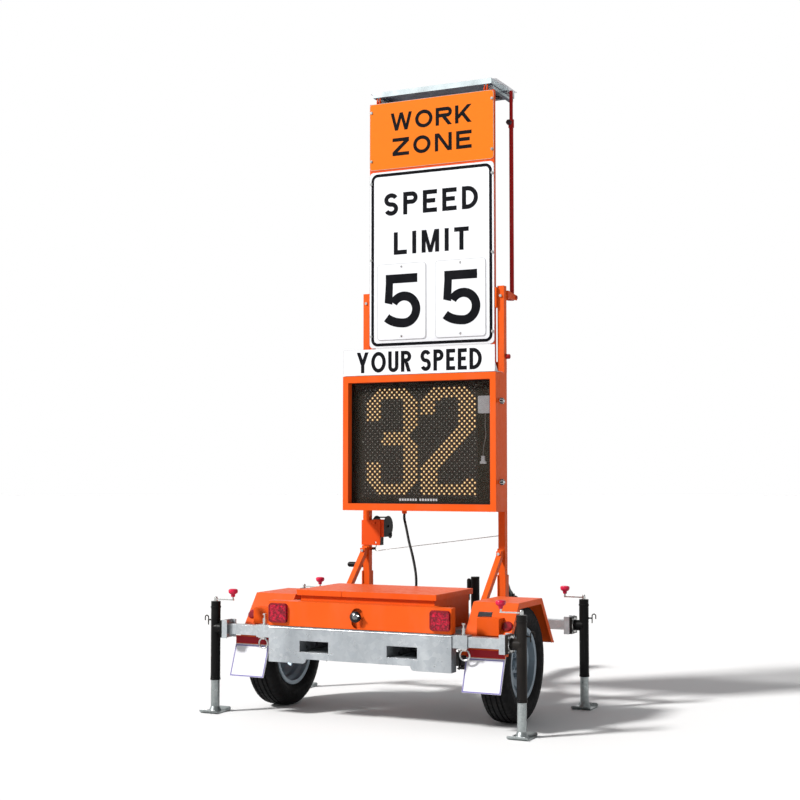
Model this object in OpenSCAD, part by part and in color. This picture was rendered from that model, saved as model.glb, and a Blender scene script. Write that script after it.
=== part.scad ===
// Solar speed sign: a towed radar speed display with a telescoping sign mast.
// Millimetres. X runs across the trailer, +Y is the towing direction, +Z is up.
// Lengths in Y are measured from the wheel axle, then every node is shifted by y_shift to centre the part.

/* [Wheels] */
// Tyre outside diameter
tyre_d = 580; // [560:2:590]
// Tyre section width
tyre_w = 156; // [150:1:165]
// Distance between the two tyre centres
track = 1310; // [1300:2:1330]
// Spindle diameter
spindle_d = 30; // [25:1:35]

/* [Chassis] */
// Height of the outrigger arms above the ground
arm_z = 434; // [430:1:440]
// Outside size of the square receivers
receiver = 62; // [61:1:66]
// Half length of each receiver
receiver_half = 585; // [560:5:600]
// Half spacing of the two side rails
rail_x = 410; // [405:1:415]
// Side rail width
rail_w = 50; // [40:2:54]
// Drawbar width and height
drawbar = 80; // [60:5:85]

/* [Bumper] */
// Half length of the bumper plate
bumper_half = 506; // [480:2:510]
// Height of the bumper's top edge
bumper_top = 460; // [450:2:464]
// Height of the bumper's bottom edge between the ears
bumper_low = 306; // [300:2:320]
// Height of the bottom of the ears
ear_low = 284; // [270:2:296]
// Fork pocket opening width
pocket_w = 164; // [140:2:180]
// Fork pocket opening height
pocket_h = 56; // [50:1:60]

/* [Outriggers] */
// Distance from the axle back to the rear arms
rear_jack = 380; // [370:5:400]
// Distance from the axle forward to the front arms
front_jack = 555; // [540:5:580]
// Distance from the centreline to each jack
jack_x = 850; // [840:5:880]
// Square arm size
arm_size = 50; // [45:1:50]
// Jack tube diameter
jack_d = 50; // [46:1:56]
// Jack leg diameter
leg_d = 45; // [38:0.5:45]
// Height of the top of the jack tube
jack_top = 572; // [560:2:590]
// Height of the bottom of the jack tube
jack_low = 166; // [160:2:180]
// Crank arm length
crank_r = 105; // [80:5:115]

/* [Body] */
// Battery box width
box_w = 750; // [700:5:760]
// Battery box front to back length
box_l = 432; // [400:2:440]
// Height of the top of the lid
lid_top = 645; // [640:1:660]
// Lid overhang past the box walls
lid_lip = 16; // [10:1:20]
// Lamp panel height
lamp_panel_h = 123; // [110:1:124]
// Tail lamp width
lamp_w = 102; // [90:1:110]
// Tail lamp height
lamp_h = 94; // [80:1:100]
// Fender width
fender_w = 240; // [220:2:250]
// Height of the fender tops
fender_top = 603; // [600:1:615]

/* [Mast] */
// Square post size
post = 38; // [36:1:40]
// Half distance between the inner faces of the posts
post_gap = 392; // [390:0.5:394]
// Height of the post tops
post_top = 2263; // [2200:5:2300]

/* [Signs] */
// Width of both sign plates
sign_w = 762; // [740:2:764]
// Height of the upper plate
work_h = 384; // [370:2:400]
// Height of the lower plate
limit_h = 1007; // [980:1:1010]
// Height of the lower plate's bottom edge
limit_z = 1946; // [1930:1:1960]
// Digit plate width
digit_w = 304; // [280:2:310]
// Digit plate height
digit_h = 432; // [400:2:440]

/* [Display] */
// Cabinet width
cab_w = 915; // [880:5:920]
// Cabinet height
cab_h = 745; // [700:5:750]
// Cabinet shell depth behind the door
cab_d = 91; // [70:1:95]
// Door depth
door_d = 55; // [40:1:60]
// Height of the underside of the cabinet
cab_z = 1034; // [1034:1:1050]
// Bezel width at the sides
bezel = 33; // [25:1:40]
// Height of the plate above the cabinet
your_h = 144; // [120:2:160]

/* [Solar panel] */
// Panel width
panel_w = 730; // [680:5:740]
// Panel length
panel_l = 355; // [345:5:380]
// Panel frame thickness
panel_t = 30; // [25:1:35]
// Strut tube diameter
strut_d = 24; // [22:1:28]

/* [Cable] */
// Power cable diameter
cable_d = 14; // [10:1:16]
// Wire rope diameter
rope_d = 5; // [4:0.5:6]

/* [Hidden] */
$fn = 0;
$fa = 5;
$fs = 1.2;

sheet = 3;
run_fit = 0.1;
gland_fit = 0.8;
eps = 0.5;

tyre_r = tyre_d / 2;
tyre_x = track / 2;
seat_r = 165.1;
shackle_d = 12;
receiver_in = arm_size + 1.2;
rear_y = -rear_jack;
front_y = front_jack;
receiver_top = arm_z + receiver / 2;
receiver_low = arm_z - receiver / 2;
bumper_y = rear_y - receiver / 2 - 7;
pocket_x = 244;
pocket_wall = 6;
pocket_z = receiver_low - pocket_wall - pocket_h;
foot_half_y = 75;
foot_half_x = 52;
coupler_y = 1757;
coupler_r = 38;
coupler_z = 407;
y_shift = -(coupler_y + coupler_r + rear_y - foot_half_y) / 2;
axle_z = tyre_r;

box_rear = -320;
box_front = box_rear + box_l;
box_floor = receiver_low + 2;
lid_low = lid_top - 28;
box_top = lid_top - 13;
hinge_y = box_front + lid_lip + 6;
panel_low = 469;
lamp_y = bumper_y;
fender_x = 507;

post_y = 486;
post_back = post_y + post;
post_mid_x = post_gap + post / 2;
frame_y = 470;
frame_t = 25;
frame_x = sign_w / 2;
frame_low = 1790;
frame_top = 3350;
work_z = limit_z + limit_h + 12;
plate_y = frame_y - sheet;
digit_x = 180;
digit_z = limit_z + 44;
clevis_y = 650;
clevis_z = 2215;

cab_y = 345;
door_y = cab_y - door_d;
cab_back = cab_y + cab_d;
board_y = 352;

panel_y = 475;
panel_z = 3388;
hinge_axis_y = panel_y + 8;
hinge_axis_z = panel_z - 4;

winch_x = -375;
winch_y = 545;
winch_z = 940;
crank_y = 572;
crank_z = 893;
crank_arm = 176;
grip_x = 558;

tongue_jack_x = 72;
tongue_jack_y = 930;
tongue_jack_top = 642;

fender_low = 362;
fender_rear = -326;
fender_back = 368;
wedge_y = -266;
fender_rear_top = -141;
fender_back_top = 190;

brace_top = 806;

strut_x = post_gap + 22;
strut_pin_z = panel_z - 18;

mount_x = jack_x - 67;
mount_half = 46;
swivel_half = 44;

orange = [1.0, 0.42, 0.12];
red_orange = [0.93, 0.30, 0.14];
zinc = [0.74, 0.76, 0.78];
black = [0.07, 0.07, 0.08];
white = [0.95, 0.95, 0.94];
maroon = [0.55, 0.08, 0.12];
dark = [0.16, 0.16, 0.17];
lens_red = [0.75, 0.03, 0.10];

// Shared shapes ---------------------------------------------------------------

module at_axle() { translate([0, y_shift, 0]) children(); }

module both_sides() {
  children();
  mirror([1, 0, 0]) children();
}

module slab(x0, x1, y0, y1, z0, z1) {
  translate([x0, y0, z0]) cube([x1 - x0, y1 - y0, z1 - z0]);
}

module rod_x(x0, x1, y, z, d) {
  translate([x0, y, z]) rotate([0, 90, 0]) cylinder(h = x1 - x0, d = d);
}

module rod_y(y0, y1, x, z, d) {
  translate([x, y1, z]) rotate([90, 0, 0]) cylinder(h = y1 - y0, d = d);
}

module rod_z(z0, z1, x, y, d) {
  translate([x, y, z0]) cylinder(h = z1 - z0, d = d);
}

// Square tube along X, centred on y and z
module tube_x(x0, x1, y, z, size, inner) {
  difference() {
    slab(x0, x1, y - size / 2, y + size / 2, z - size / 2, z + size / 2);
    slab(x0 - 1, x1 + 1, y - inner / 2, y + inner / 2, z - inner / 2, z + inner / 2);
  }
}

// Rectangular tube along Y between two corners
module tube_y(x0, x1, y0, y1, z0, z1, wall) {
  difference() {
    slab(x0, x1, y0, y1, z0, z1);
    slab(x0 + wall, x1 - wall, y0 - 1, y1 + 1, z0 + wall, z1 - wall);
  }
}

// Square tube along Z between two corners
module tube_z(x0, x1, y0, y1, z0, z1, wall) {
  difference() {
    slab(x0, x1, y0, y1, z0, z1);
    slab(x0 + wall, x1 - wall, y0 + wall, y1 - wall, z0 - 1, z1 + 1);
  }
}

// Extrudes a y-z profile across x
module prism_x(x0, x1, pts) {
  translate([x0, 0, 0]) rotate([90, 0, 90]) linear_extrude(x1 - x0) polygon(pts);
}

// Extrudes an x-z profile along y
module round_plate(x0, x1, z0, z1, y0, y1, r) {
  slab(x0 + r, x1 - r, y0, y1, z0, z1);
  slab(x0, x1, y0, y1, z0 + r, z1 - r);
  for (x = [x0 + r, x1 - r], z = [z0 + r, z1 - r]) rod_y(y0, y1, x, z, 2 * r);
}

// Hexagon head with a shank behind it, pointing to -Y
module hex_bolt_y(x, y, z, head, head_h, shank, shank_l) {
  translate([x, y, z]) rotate([90, 0, 0]) cylinder(h = head_h, d = head, $fn = 6);
  rod_y(y, y + shank_l, x, z, shank);
}

// Hexagon head standing on the plane y = 0
module hex_head(x, z, head, head_h) {
  translate([x, 0, z]) rotate([90, 0, 0]) cylinder(h = head_h, d = head, $fn = 6);
}

module ring_shape(r, wire) {
  rotate_extrude() translate([r, 0]) circle(d = wire);
}

function unit(v) = v / norm(v);
function tangent(p, i) = unit(p[min(i + 1, len(p) - 1)] - p[max(i - 1, 0)]);
function side(t, up) = unit(cross(t, up));
function spline_at(a, b, c, d, t) = 0.5 * (2 * b + (c - a) * t + (2 * a - 5 * b + 4 * c - d) * t * t
  + (3 * b - a - 3 * c + d) * t * t * t);
function spline(p, steps) = concat([for (i = [0:len(p) - 2], k = [0:steps - 1])
  spline_at(p[max(i - 1, 0)], p[i], p[i + 1], p[min(i + 2, len(p) - 1)], k / steps)], [p[len(p) - 1]]);

// Round cord swept along a route of points
module cord(route, d, up, sides) {
  n = len(route);
  rings = [for (i = [0:n - 1], k = [0:sides - 1])
    let (t = tangent(route, i), u = side(t, up), v = cross(u, t), a = 360 * k / sides)
    route[i] + d / 2 * (cos(a) * u + sin(a) * v)];
  walls = [for (i = [0:n - 2], k = [0:sides - 1])
    let (j = (k + 1) % sides) [i * sides + k, (i + 1) * sides + k, (i + 1) * sides + j, i * sides + j]];
  polyhedron(points = rings, faces = concat(walls, [[for (k = [0:sides - 1]) k]],
    [[for (k = [sides - 1:-1:0]) (n - 1) * sides + k]]));
}

cable_route = spline([[-116, 370, 1038], [-116, 370, 1014], [-116, 370, 990], [-90, 340, 940],
  [-55, 300, 870], [-20, 268, 800], [8, 238, 740], [28, 212, 690], [38, 192, 640],
  [40, 172, 605], [40, 146, 590], [40, 124, 590], [40, 104, 590]], 5);
rope_route = spline([[-340, 521, 922], [-350, 512, 860], [-362, 507, 812], [-352, 505, 803],
  [-300, 505, 810], [-150, 505, 830], [0, 505, 849], [150, 505, 869], [300, 505, 889], [391, 505, 901]], 6);

// Chassis ---------------------------------------------------------------------

module chassis_frame() color(zinc) at_axle() {
  for (y = [rear_y, front_y]) tube_x(-receiver_half, receiver_half, y, arm_z, receiver, receiver_in);
  tube_y(-drawbar / 2, drawbar / 2, rear_y - 25, 1650, receiver_low - drawbar, receiver_low, 5);
  // V-shaped brace from the front receiver to the top of the drawbar
  brace_y = front_y + receiver / 2 - 1;
  translate([0, 0, receiver_low - 1]) linear_extrude(41) polygon([[262, brace_y], [0, brace_y + 327],
    [-262, brace_y], [-218, brace_y], [0, brace_y + 273], [218, brace_y]]);
  both_sides() {
    tube_y(rail_x - rail_w / 2, rail_x + rail_w / 2, rear_y + receiver / 2, front_y - receiver / 2,
      receiver_low + 1, receiver_top - 1, 4);
    // spring hangers
    for (y = [-290, 290], x = [rail_x - 25, rail_x + 20]) difference() {
      slab(x, x + 5, y - 18, y + 18, 348, receiver_low + 2);
      rod_x(x - 1, x + 6, y, 386, shackle_d + 0.2);
    }
    // fender straps
    for (y = [-90, 110]) {
      slab(rail_x + rail_w / 2 - 1, fender_x, y, y + 40, receiver_top - 12, receiver_top - 6);
      slab(fender_x - 6, fender_x, y, y + 40, receiver_top - 12, fender_top - 4);
    }
  }
}

module rear_bumper() color(zinc) at_axle() {
  difference() {
    union() {
      slab(-bumper_half, bumper_half, bumper_y, bumper_y + 6, bumper_low, bumper_top);
      rod_x(-bumper_half, bumper_half, bumper_y + 2, bumper_top - 3, 8);
      both_sides() {
        slab(310, bumper_half, bumper_y, bumper_y + 6, ear_low, bumper_low + 1);
        slab(290, 311, bumper_y, bumper_y + 6, ear_low + 20, bumper_low + 1);
        rod_y(bumper_y, bumper_y + 6, 310, ear_low + 20, 40);
        slab(bumper_half - 6, bumper_half, bumper_y, bumper_y + 60, ear_low, bumper_top);
      }
    }
    both_sides() {
      slab(pocket_x - pocket_w / 2, pocket_x + pocket_w / 2, bumper_y - 1, bumper_y + 7,
        pocket_z, pocket_z + pocket_h);
      slab(bumper_half - 7, bumper_half + 1, rear_y - receiver / 2, bumper_y + 61,
        receiver_low, receiver_top);
    }
  }
  both_sides()
    tube_y(pocket_x - pocket_w / 2 - pocket_wall, pocket_x + pocket_w / 2 + pocket_wall,
      bumper_y + 5, front_y + receiver / 2 - 4, pocket_z - pocket_wall, receiver_low, pocket_wall);
}

// One leaf of the spring, centred over the beam
module leaf(radius, half_angle, z, t) {
  translate([rail_x - 20, 0, z + radius]) rotate([0, 90, 0]) rotate([0, 0, -half_angle])
    rotate_extrude(angle = 2 * half_angle) translate([radius, 0]) square([t, 40]);
}

module axle_assembly() color(dark) at_axle() {
  slab(-tyre_x + 90, tyre_x - 90, -25, 25, axle_z - 27, axle_z + 23);
  both_sides() {
    rod_x(tyre_x - 92, tyre_x + 18, 0, axle_z, spindle_d);
    // spring seat and U bolts
    slab(rail_x - 24, rail_x + 24, -45, 45, axle_z + 23, axle_z + 31);
    slab(rail_x - 24, rail_x + 24, -45, 45, axle_z - 36, axle_z - 27);
    for (x = [rail_x - 29, rail_x + 29], y = [-32, 32]) rod_z(axle_z - 44, axle_z + 56, x, y, 8);
    slab(rail_x - 36, rail_x + 36, -40, 40, axle_z - 40, axle_z - 34);
    for (k = [0:2]) leaf(760 + 7 * k, 21.5 - 5.5 * k, axle_z + 45 - 7 * k, 7);
    for (y = [-290, 290]) {
      difference() {
        rod_x(rail_x - 19.5, rail_x + 19.5, y, 386, 30);
        rod_x(rail_x - 30, rail_x + 30, y, 386, shackle_d);
      }
      rod_x(rail_x - 30, rail_x + 30, y, 386, shackle_d);
    }
  }
}

// Coupler and tongue jack -------------------------------------------------------

module coupler_body() color(black) at_axle() {
  difference() {
    union() {
      rod_z(395, 446, 0, coupler_y, 2 * coupler_r);
      translate([0, 0, 395]) linear_extrude(51)
        polygon([[-46, 1640], [46, 1640], [34, coupler_y], [-34, coupler_y]]);
      slab(-46, 46, 1540, 1645, receiver_low - 60, receiver_low + 6);
      translate([0, coupler_y, 442]) sphere(r = 26);
      both_sides() slab(14, 18, 1682, 1712, 440, 484);
    }
    slab(-drawbar / 2, drawbar / 2, 1500, 1650, receiver_low - 90, receiver_low);
    translate([0, coupler_y, coupler_z]) sphere(r = 25.6);
    rod_z(380, coupler_z, 0, coupler_y, 51.2);
    slab(-30, 30, 1660, coupler_y - 30, 380, 438);
    slab(-12.6, 12.6, 1660, 1716, 430, 500);
    rod_x(-30, 30, 1697, 468, 10);
  }
  both_sides() for (y = [1565, 1615]) rod_x(46, 54, y, receiver_low - 30, 19);
}

module coupler_latch() color(dark) at_axle() {
  difference() {
    prism_x(-12, 12, [[1688, 455], [1706, 455], [1712, 472], [1700, 488], [1660, 512], [1628, 548],
      [1606, 551], [1598, 542], [1618, 516], [1650, 488], [1682, 470]]);
    slab(-9, 9, 1590, 1664, 440, 540);
  }
  rod_x(-20, 20, 1697, 468, 9.8);
  rod_x(-15, 15, 1612, 541, 18);
}

module tongue_jack_tube() color(black) at_axle() {
  difference() {
    union() {
      rod_z(250, tongue_jack_top, tongue_jack_x, tongue_jack_y, 50);
      slab(drawbar / 2, drawbar / 2 + 7, tongue_jack_y - 50, tongue_jack_y + 50,
        receiver_low - 75, receiver_low - 5);
      slab(drawbar / 2 + 6, tongue_jack_x, tongue_jack_y - 20, tongue_jack_y + 20,
        receiver_low - 70, receiver_low - 10);
    }
    rod_z(240, tongue_jack_top - 6, tongue_jack_x, tongue_jack_y, 42 + 2 * run_fit);
    rod_x(tongue_jack_x - 40, tongue_jack_x, tongue_jack_y, 560, 12.1);
  }
}

module tongue_jack_leg() color(zinc) at_axle() {
  difference() {
    rod_z(4, 470, tongue_jack_x, tongue_jack_y, 42);
    rod_z(20, 480, tongue_jack_x, tongue_jack_y, 34);
  }
  rod_z(0, 6, tongue_jack_x, tongue_jack_y, 130);
}

module tongue_jack_crank() color(dark) at_axle() {
  rod_x(tongue_jack_x - 38, tongue_jack_x - 22.2, tongue_jack_y, 560, 12);
  rod_x(tongue_jack_x - 42, tongue_jack_x - 27, tongue_jack_y, 560, 22);
  slab(tongue_jack_x - 42, tongue_jack_x - 36, tongue_jack_y - 8, tongue_jack_y + 8, 505, 560);
  rod_z(560, 620, tongue_jack_x - 39, tongue_jack_y, 24);
  translate([tongue_jack_x - 39, tongue_jack_y, 620]) sphere(d = 24);
}

// Battery box -------------------------------------------------------------------

module battery_box() color(red_orange) at_axle() {
  difference() {
    slab(-box_w / 2, box_w / 2, box_rear, box_front, box_floor - 2, box_top);
    slab(-box_w / 2 + sheet, box_w / 2 - sheet, box_rear + sheet, box_front - sheet,
      box_floor - 2 + sheet, box_top + 1);
    for (x = [-box_w / 2 - 1, box_w / 2 - 4], y = [-250:40:-130])
      slab(x, x + 5, y, y + 8, 520, 580);
    rod_y(box_front - 5, box_front + 5, 40, 590, 20);
  }
  // gland for the power cable
  difference() {
    union() {
      rod_y(box_front - 3, box_front + 4, 40, 590, 26);
      rod_y(box_front - 12, box_front - 3, 40, 590, 20);
    }
    rod_y(box_front - 20, box_front + 20, 40, 590, cable_d + gland_fit);
  }
  // hinge knuckles fixed to the rear wall
  for (x = [-260, 260]) {
    difference() {
      union() {
        rod_x(x - 20, x + 20, hinge_y, box_top, 12);
        slab(x - 20, x + 20, box_front, hinge_y, box_top - 6, box_top);
      }
      rod_x(x - 30, x + 30, hinge_y, box_top, 6.2);
    }
    slab(x - 20, x + 20, box_front, box_front + 3, box_top - 40, box_top);
  }
}

module battery_lid() color(red_orange) at_axle() {
  lid_rear = box_rear - lid_lip;
  lid_front = box_front + lid_lip;
  lid_x = box_w / 2 + lid_lip;
  difference() {
    slab(-lid_x, lid_x, lid_rear, lid_front, lid_low, lid_top);
    slab(-lid_x + sheet, lid_x - sheet, lid_rear + sheet, lid_front - sheet, lid_low - 1, lid_top - sheet);
    // joint line in the rear lip
    slab(-133, -130, lid_rear - 1, lid_rear + 2, lid_low - 1, lid_top - 2);
    for (x = [-260, 260]) slab(x - 22, x + 22, lid_front - 5, lid_front + 5, lid_low - 1, lid_top - 8);
  }
  // stiffening hat under the lid
  for (x = [-180, 180]) slab(x - 20, x + 20, lid_rear + 30, lid_front - 30, lid_top - 10, lid_top - sheet);
  for (x = [-260, 260]) {
    difference() {
      for (k = [-1, 1]) union() {
        rod_x(x + k * 34 - 12, x + k * 34 + 12, hinge_y, box_top, 12);
        slab(x + k * 34 - 12, x + k * 34 + 12, lid_front - 1, hinge_y, box_top, box_top + 6);
      }
      rod_x(x - 60, x + 60, hinge_y, box_top, 6);
    }
    rod_x(x - 46, x + 46, hinge_y, box_top, 6);
  }
}

module batteries() color(dark) at_axle() {
  for (y = [-262, -84]) {
    difference() {
      slab(-166, 166, y, y + 172, box_floor + 1, box_floor + 201);
      for (x = [-167, 146]) slab(x, x + 21, y + 40, y + 132, box_floor + 160, box_floor + 180);
    }
    for (x = [-140, 140]) rod_z(box_floor + 200, box_floor + 215, x, y + 30, 18);
    slab(-166, 166, y + 80, y + 92, box_floor + 201, box_floor + 205);
  }
}

module charge_controller() color(dark) at_axle() {
  slab(box_w / 2 - 43, box_w / 2 - sheet, -180, 10, 470, 590);
  for (z = [480:12:576]) slab(box_w / 2 - 51, box_w / 2 - 43, -170, 0, z, z + 4);
  slab(-box_w / 2 + sheet, -box_w / 2 + 63, -200, 20, 450, 580);
}

// Lamp panel ---------------------------------------------------------------------

module lamp_panel() color(orange) at_axle() {
  top = panel_low + lamp_panel_h;
  difference() {
    union() {
      slab(-fender_x, fender_x, lamp_y, lamp_y + sheet, panel_low, top);
      slab(-fender_x, fender_x, lamp_y, box_rear, top - sheet, top);
      both_sides() slab(fender_x - sheet, fender_x, lamp_y, lamp_y + 48, panel_low, top);
      slab(-fender_x, fender_x, lamp_y, lamp_y + 40, panel_low - 1, panel_low + 2);
    }
    for (x = [-449, 449]) rod_y(lamp_y - 5, lamp_y + 10, x, 531, 60);
    slab(-32, 32, lamp_y - 5, lamp_y + 10, 503, 540);
    for (z = [503, 540]) rod_y(lamp_y - 5, lamp_y + 10, 0, z, 64);
    // the part of the top flange beside the box stays open
    both_sides() slab(box_w / 2 + 30, fender_x + 1, lamp_y + 48, box_rear + 1, top - 5, top + 1);
  }
  // backing plate with the lock staple behind the oblong hole
  slab(-50, 50, lamp_y + 20, lamp_y + 23, panel_low + 1, top - 2);
  both_sides() slab(47, 50, lamp_y + 2, lamp_y + 22, panel_low + 1, top - 2);
}

module tail_lamps() color(lens_red) at_axle() {
  for (x = [-449, 449]) {
    round_plate(x - lamp_w / 2, x + lamp_w / 2, 531 - lamp_h / 2, 531 + lamp_h / 2,
      lamp_y - 13, lamp_y - 5, 14);
    round_plate(x - lamp_w / 2 - 2, x + lamp_w / 2 + 2, 529 - lamp_h / 2, 533 + lamp_h / 2,
      lamp_y - 5, lamp_y, 15);
    rod_y(lamp_y, lamp_y + 30, x, 531, 60);
  }
  // round reflectors on the sloping fender faces
  both_sides() translate([718, fender_y(496) - 0.3, 496]) rotate([90 - fender_tilt(), 0, 0]) {
    cylinder(h = 6, d = 54);
    translate([0, 0, 6]) cylinder(h = 3, d1 = 54, d2 = 44);
  }
}

// The round lock in the lamp panel and the two cabinet latches
module locks() color(dark) at_axle() {
  translate([-1, lamp_y - 17, 531]) rotate([90, 0, 0]) rotate([-6, 8, 0]) {
    rotate_extrude() polygon([[0, -14], [20, -14], [27, -8], [28, 0], [27, 8], [22, 13], [17, 15], [0, 15]]);
    translate([0, 0, 14]) ring_shape(13, 4);
  }
  slab(-8, 6, lamp_y - 10, lamp_y + 20, 525, 537);
  for (z = [cab_z + 158, cab_z + 592]) {
    slab(cab_w / 2, cab_w / 2 + 3, cab_y + 8, cab_y + 52, z - 16, z + 16);
    slab(cab_w / 2 + 3, cab_w / 2 + 10, cab_y + 20, cab_y + 46, z - 10, z + 10);
    rod_z(z - 14, z + 14, cab_w / 2 + 7, cab_y + 20, 8);
    slab(cab_w / 2 + 5, cab_w / 2 + 8, cab_y + 1, cab_y + 22, z - 6, z + 6);
  }
}

// Fenders --------------------------------------------------------------------------

function fender_tilt() = atan2(fender_rear_top - fender_rear, fender_top - fender_low);
function fender_profile(t) = let (h = fender_top - fender_low,
    a = fender_rear_top - fender_rear, b = fender_back - fender_back_top,
    ta = t * sqrt(h * h + a * a) / h, tb = t * sqrt(h * h + b * b) / h)
  [[fender_rear + ta, fender_low], [fender_rear + ta + (h - t) * a / h, fender_top - t],
   [fender_back - tb - (h - t) * b / h, fender_top - t], [fender_back - tb, fender_low]];
function fender_y(z) = fender_rear
  + (z - fender_low) * (fender_rear_top - fender_rear) / (fender_top - fender_low);

module fender() {
  x0 = fender_x;
  x1 = fender_x + fender_w;
  difference() {
    prism_x(x0, x1, fender_profile(0));
    translate([0, 0, -1]) prism_x(x0 - 1, x1 + 1, fender_profile(sheet));
    slab(x0 - 1, x1 + 1, fender_rear - 5, fender_back + 5, fender_low - 3, fender_low);
    slab(x0 + 42, x0 + 116, fender_y(534) - 30, fender_y(558) + 20, 534, 558);
  }
  // rolled lips on both edges
  for (x = [x0, x1 - sheet]) difference() {
    prism_x(x, x + sheet, fender_profile(0));
    translate([0, 0, -1]) prism_x(x - 1, x + sheet + 1, fender_profile(28));
  }
  // grab bar inside the slot
  rod_x(x0 + 3, x0 + 130, fender_y(546) + 12, 546, 14);
  // wedge-shaped side marker bracket
  difference() {
    prism_x(x0 + 68, x0 + 183, [[wedge_y, 454], [wedge_y, 536], [fender_y(536) + 1.5, 536],
      [fender_y(454) + 1.5, 454]]);
    prism_x(x0 + 71, x0 + 180, [[wedge_y + 3, 450], [wedge_y + 3, 533], [fender_y(533) - 3, 533],
      [fender_y(450) - 3, 450]]);
  }
  // lower cross bar that clamps the mud flap
  slab(x0 + 43, x1 + 3, fender_rear - 13, fender_rear - 7, fender_low - 6, fender_low + 34);
  slab(x0 + 43, x1 - 3, fender_rear - 8, fender_rear + 12, fender_low + 6, fender_low + 12);
}

module fender_right() color(orange) at_axle() fender();
module fender_left() color(orange) at_axle() mirror([1, 0, 0]) fender();

module mud_flaps() color(white) at_axle() both_sides()
  prism_x(fender_x + 43, fender_x + 243, [[fender_rear - 2, fender_low + 5], [fender_rear - 2, fender_low - 6],
    [fender_rear - 68, 195], [fender_rear - 73, 195], [fender_rear - 15, fender_low - 8],
    [fender_rear - 10, fender_low - 6], [fender_rear - 7, fender_low - 6], [fender_rear - 7, fender_low + 5]]);

// Wheels ------------------------------------------------------------------------------

module rim() {
  rotate([0, 90, 0]) difference() {
    union() {
      rotate_extrude() polygon([[182, -63], [182, -58], [seat_r, -57], [seat_r, -38], [146, -26], [146, 10],
        [seat_r, 30], [seat_r, 57], [182, 58], [182, 63], [178, 63], [161, 61], [161, 28], [142, 8],
        [142, -24], [161, -36], [161, -61], [178, -63]]);
      rotate_extrude() polygon([[0, 6], [68, 6], [84, 24], [112, 28], [130, 10], [143, 2], [143, 10],
        [133, 18], [114, 35], [82, 31], [64, 13], [0, 13]]);
      translate([0, 0, -70]) cylinder(h = 77, d = 66);
      translate([0, 0, -6]) cylinder(h = 12.5, d = 136);
      translate([0, 0, 12]) rotate_extrude() polygon([[0, 0], [31, 0], [31, 18], [27, 26], [14, 30], [0, 30]]);
      for (k = [0:4]) rotate(72 * k) translate([57.2, 0, 0]) {
        cylinder(h = 34, d = 12);
        translate([0, 0, 12]) cylinder(h = 16, d = 22, $fn = 6);
      }
    }
    for (k = [0:7]) rotate(45 * k) translate([124, 0, -10]) cylinder(h = 60, d = 24);
    translate([0, 0, -71]) cylinder(h = 95, d = spindle_d + 2 * run_fit);
  }
}

module tyre() {
  b = tyre_w / 2;
  rotate([0, 90, 0]) difference() {
    rotate_extrude() polygon([[seat_r, 42], [seat_r, 57], [183, 57], [187, 63], [205, b - 5], [tyre_r - 58, b],
      [tyre_r - 32, b - 3], [tyre_r - 14, b - 10], [tyre_r - 6, b - 16], [tyre_r - 2, b - 27], [tyre_r, 20],
      [tyre_r, -20], [tyre_r - 2, 27 - b], [tyre_r - 6, 16 - b], [tyre_r - 14, 10 - b], [tyre_r - 32, 3 - b],
      [tyre_r - 58, -b], [205, 5 - b], [187, -63], [183, -57], [seat_r, -57], [seat_r, -42], [176, -44],
      [195, -54], [212, 16 - b], [tyre_r - 56, 11 - b], [tyre_r - 34, 14 - b], [tyre_r - 20, 26 - b],
      [tyre_r - 15, 34 - b], [tyre_r - 14, 0], [tyre_r - 15, b - 34], [tyre_r - 20, b - 26],
      [tyre_r - 34, b - 14], [tyre_r - 56, b - 11], [212, b - 16], [195, 54], [176, 44]]);
    for (a = [-36, -13, 13, 36]) translate([0, 0, a - 4]) rotate_extrude()
      translate([tyre_r - 8, 0]) square([20, 8]);
  }
}

module rim_right() color(zinc) at_axle() translate([tyre_x, 0, axle_z]) rim();
module rim_left() color(zinc) at_axle() mirror([1, 0, 0]) translate([tyre_x, 0, axle_z]) rim();
module tyre_right() color(black) at_axle() translate([tyre_x, 0, axle_z]) tyre();
module tyre_left() color(black) at_axle() mirror([1, 0, 0]) translate([tyre_x, 0, axle_z]) tyre();

// Mast ----------------------------------------------------------------------------------

module mast_posts() color(orange) at_axle() both_sides() {
  tube_z(post_gap, post_gap + post, post_y, post_back, receiver_top - 1, post_top, 3);
  slab(post_gap, post_gap + post, post_y, post_back, post_top - 3, post_top);
  // front brace
  prism_x(post_mid_x - 15, post_mid_x + 15, [[post_y - 378, receiver_top - 1], [post_y - 336, receiver_top - 1],
    [post_y - 6, brace_top - 14], [post_y - 6, brace_top + 24], [post_y - 18, brace_top + 18]]);
  // lug plate that takes the brace bolt
  slab(post_gap - 4, post_gap + post + 4, post_y - 6, post_y, brace_top - 28, brace_top + 26);
  slab(post_mid_x - 14, post_mid_x + 14, post_y - 46, post_y - 5, brace_top - 14, brace_top + 14);
  // foot channel, open to the rear of the trailer
  difference() {
    slab(post_gap - 5, post_gap + post + 5, post_y - 6, post_back + 5, receiver_top, 690);
    slab(post_gap, post_gap + post, post_y - 10, post_back, receiver_top - 2, 700);
  }
  // guide channel at the post top
  slab(frame_x + 0.6, post_gap, frame_y, frame_y + 35, post_top - 120, post_top - 8);
  slab(frame_x - 8, post_gap, frame_y + frame_t + 0.6, frame_y + frame_t + 6, post_top - 120, post_top - 8);
}

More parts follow.
